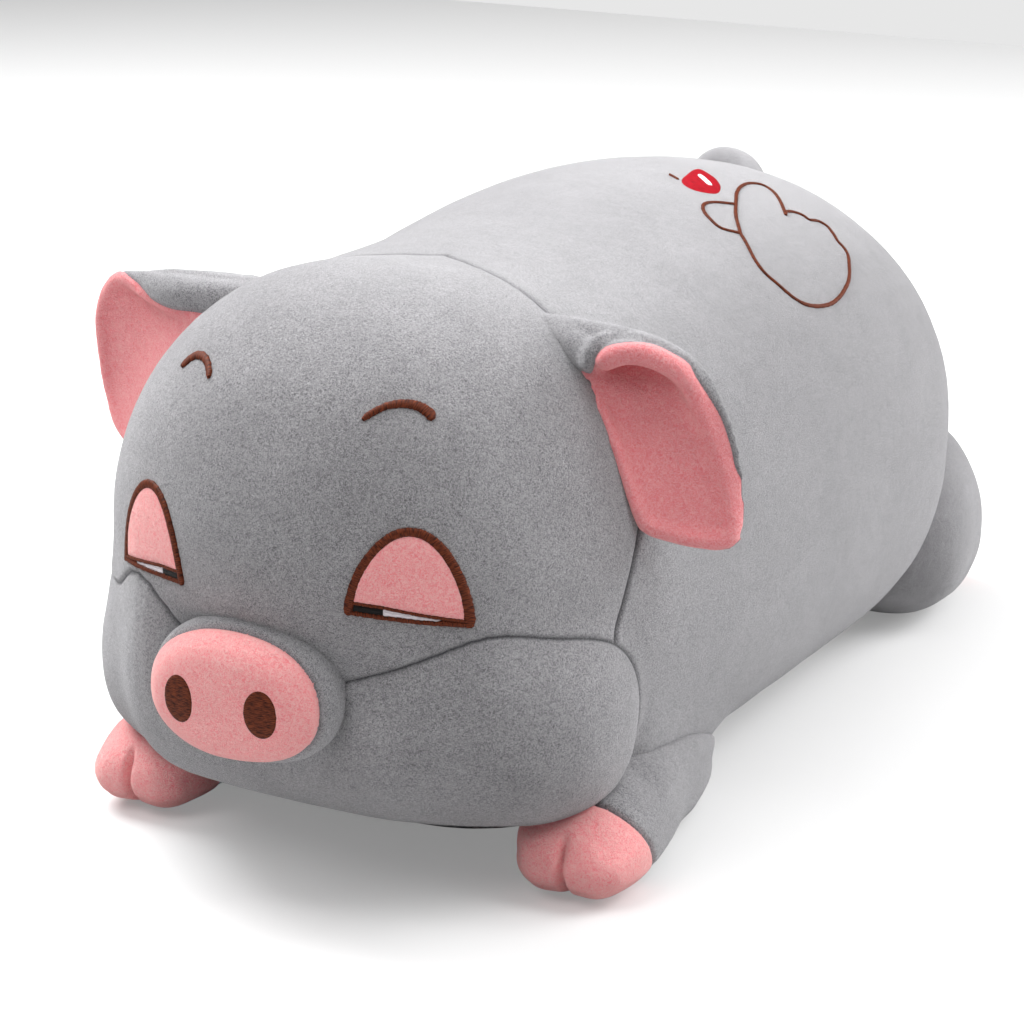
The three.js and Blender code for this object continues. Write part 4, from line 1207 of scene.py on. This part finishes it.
def makeLeg(name, root, turn, leg, s):
    ahead, place = legFrame(root, turn)

    def local(points):
        # along, across and up in the leg's own frame, and how far in front of the trotter's seam
        x, y = points[:, 0] - root[0], points[:, 1] - root[1]
        along, across, up = x * ahead[0] + y * ahead[1], -x * ahead[1] + y * ahead[0], points[:, 2]
        return along, across, up, along - leg["lean"] * up - leg["seam"]

    form = Form(*loft(leg["stations"], 60, 6, place))
    cover = newPiece(f"{name}_whole", *loft(leg["stations"], 80, 10, place, -1))
    remeshed(cover, s["voxel"])
    _, _, up, past = local(pointsOf(cover))
    held = np.maximum(1 - ramp(np.abs(past), *s["seamHold"]), 1 - ramp(up, *s["floorHold"]))
    stuffed(cover, held, s["pressure"], s["cap"])
    subdivided(cover)
    points, normals = pointsOf(cover), normalsOf(cover)
    far, _ = form.distance(points)
    bodyFar, _ = pillowForm.distance(points)
    fill = filled(bodyFar, leg["fill"])
    if leg is hindLeg:
        fill = leg["fill"] / 4 * (1 - ramp(bodyFar, -10, leg["fill"]))
    points += normals * (fill * clearOfFloor(points, normals, leg) - far * s["trueness"])[:, None]
    movePoints(cover, points)
    _, across, _, past = local(points)
    refined(cover, (np.abs(across) < s["fineAcross"]) & (past > 0) | (np.abs(past) < s["fineSeam"]))
    field = snapped(cover, local(pointsOf(cover))[3])
    points, normals = pointsOf(cover), normalsOf(cover)
    along, across, up, _ = local(points)
    gap = np.abs(field)
    tip = leg["stations"][-1][0]
    # the cleft opens at a dimple on top and runs down the front between the two toes
    depth = (tip - along) + (up - leg["toeSeam"]) * s["toeLean"]
    toe = ramp(depth, leg["cleftTop"] + s["toeFrom"], leg["cleftTop"] + s["toeFull"])
    toe = toe * ramp(field, *s["pastSeam"])
    cleft = leg["cleft"] * toe * bell(across, leg["cleftWidth"])
    lobes = leg["lobe"] * toe * bell(np.abs(across) - s["lobeAt"], s["lobeWidth"])
    rim = bell(up - leg["toeSeam"], s["rimWidth"]) * ramp(np.abs(normals[:, 2]), *s["steep"])
    rim *= np.maximum(ramp(field, -3, 3), 0.7)
    rootGap = np.abs(pillowForm.distance(points)[0])
    groove = s["seamDepth"] * bell(gap, s["seamWidth"]) + s["softDepth"] * np.exp(-gap / s["softReach"])
    groove += leg["rootLine"] * bell(rootGap, s["rootWidth"])
    swell = lobes + s["lump"] * lumps(points, s["lumpSize"], 4) - cleft - s["toeSeamDepth"] * rim - groove
    points += normals * (swell * ramp(up, *s["liftedAbove"]))[:, None]
    points[:, 2] = np.maximum(points[:, 2], s["lowest"])
    movePoints(cover, points)
    # painted shade in the seams, in the cleft between the toes, along the toe rim and round the leg's root
    crease = 0.7 * bell(gap, 0.9) + 0.6 * toe * bell(across, 0.9) + 0.3 * rim
    crease += leg["rootLine"] * bell(rootGap, 1.1)
    setValue(cover, "seam", np.clip(crease, 0, 1))
    beyond = faceSum(cover, field) > 0
    sleeve, trotter = cutApart(cover, {f"{name}_plush": ~beyond, f"{name}_trotter_plush": beyond})
    finished(sleeve, [f"{name}_cover", f"{name}_stuffing"], None, greyPlush, "grey_plush")
    bendFrom, bendTo = (place(along, 0, s["bendHeight"]) for along in (leg["stations"][0][0], leg["bendTo"]))
    [c * mm for c in bendFrom]
    [c * mm for c in bendTo]
    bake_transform(sleeve)
    finished(trotter, f"{name}_trotter", name, pinkPlush, "pink_plush")


for leg in legs:
    makeLeg(*leg, legSewing)
print("legs stuffed")

# tail
tail = {
    "path": [(3, 214, 198), (1, 225, 206), (-8, 233, 213.5), (-20, 235, 215), (-31, 231, 208)],
    "radius": 11, "taper": 0.25, "around": 40, "steps": 60,
}


def makeTail(t):
    shares = np.linspace(0, 1, t["steps"] + 1)
    line = smoothPath(t["path"], shares)
    way = unit(np.gradient(line, axis=0))
    across = unit(np.cross(way, [0, 0, 1.0]))
    rounded = np.sqrt(np.clip(1 - np.abs(2 * shares - 1) ** 8, 0, 1))
    radius = t["radius"] * (1 - t["taper"] * shares) * rounded
    points = ringsAround(line, radius, across, np.cross(across, way), t["around"])
    piece = outward(newPiece("tail_plush", points, bands(t["steps"], t["around"])))
    setValue(piece, "seam", np.zeros(len(points)))
    finished(piece, ["tail_cover", "tail_stuffing"], "tail", greyPlush, "grey_plush")


makeTail(tail)
print("tail sewn")

# floor and light
studio = {
    "floor": (206, 206, 206), "reach": 1.9, "lift": 0.25, "lampsLookAt": (0, 0, 0.1),
    "lamps": [
        ("top", (0, 0.1, 1.9), 1.6, 13.5),
        ("topLeft", (-1.2, 0.2, 1.5), 1.3, 57),
        ("topFront", (-0.5, -1.2, 1.6), 1.2, 16),
        ("topRight", (1.2, 0.3, 1.7), 1.2, 18),
        ("rightBack", (1.3, 1.4, 0.9), 1.2, 35),
        ("right", (1.8, 0.2, 0.7), 1.2, 6),
    ],
}


def makeStudio(s):
    size = s["reach"] / mm
    corners = [(-size, -size, 0), (size, -size, 0), (size, size, 0), (-size, size, 0)]
    floor = newPiece("floor", corners, [(0, 1, 2, 3)])
    material, tree, skin = nodesOf("floor")
    given(tree, skin, {"Base Color": linear(s["floor"]), "Roughness": 0.9, "Specular IOR Level": 0.05})
    # the camera sees the floor a little brighter than its light makes it
    glow = addNode(tree, "ShaderNodeEmission", {"Strength": s["lift"]})
    both = addNode(tree, "ShaderNodeAddShader", {0: skin.outputs[0], 1: glow.outputs[0]})
    seen = addNode(tree, "ShaderNodeLightPath").outputs["Is Camera Ray"]
    shown = addNode(tree, "ShaderNodeMixShader", {0: seen, 1: skin.outputs[0], 2: both.outputs[0]})
    given(tree, tree.nodes["Material Output"], {"Surface": shown.outputs[0]})
    floor.data.materials.append(material)
    world = bpy.data.worlds.new("studio")
    world.use_nodes = True
    scene.world = world
    # only the camera sees the pale world, which gives no light
    tree = world.node_tree
    dark = given(tree, tree.nodes["Background"], {"Strength": 0})
    pale = addNode(tree, "ShaderNodeBackground")
    seen = addNode(tree, "ShaderNodeLightPath").outputs["Is Camera Ray"]
    both = addNode(tree, "ShaderNodeMixShader", {0: seen, 1: dark.outputs[0], 2: pale.outputs[0]})
    given(tree, tree.nodes["World Output"], {"Surface": both.outputs[0]})
    for name, at, across, power in s["lamps"]:
        data = bpy.data.lights.new(name, "AREA")
        data.shape = "DISK"
        data.size = across
        data.energy = power
        lamp = bpy.data.objects.new(name, data)
        lamp.location = at
        lamp.rotation_mode = "QUATERNION"
        lamp.rotation_quaternion = (Vector(s["lampsLookAt"]) - Vector(at)).to_track_quat("-Z", "Y")
        scene.collection.objects.link(lamp)


makeStudio(studio)
print("studio lit")
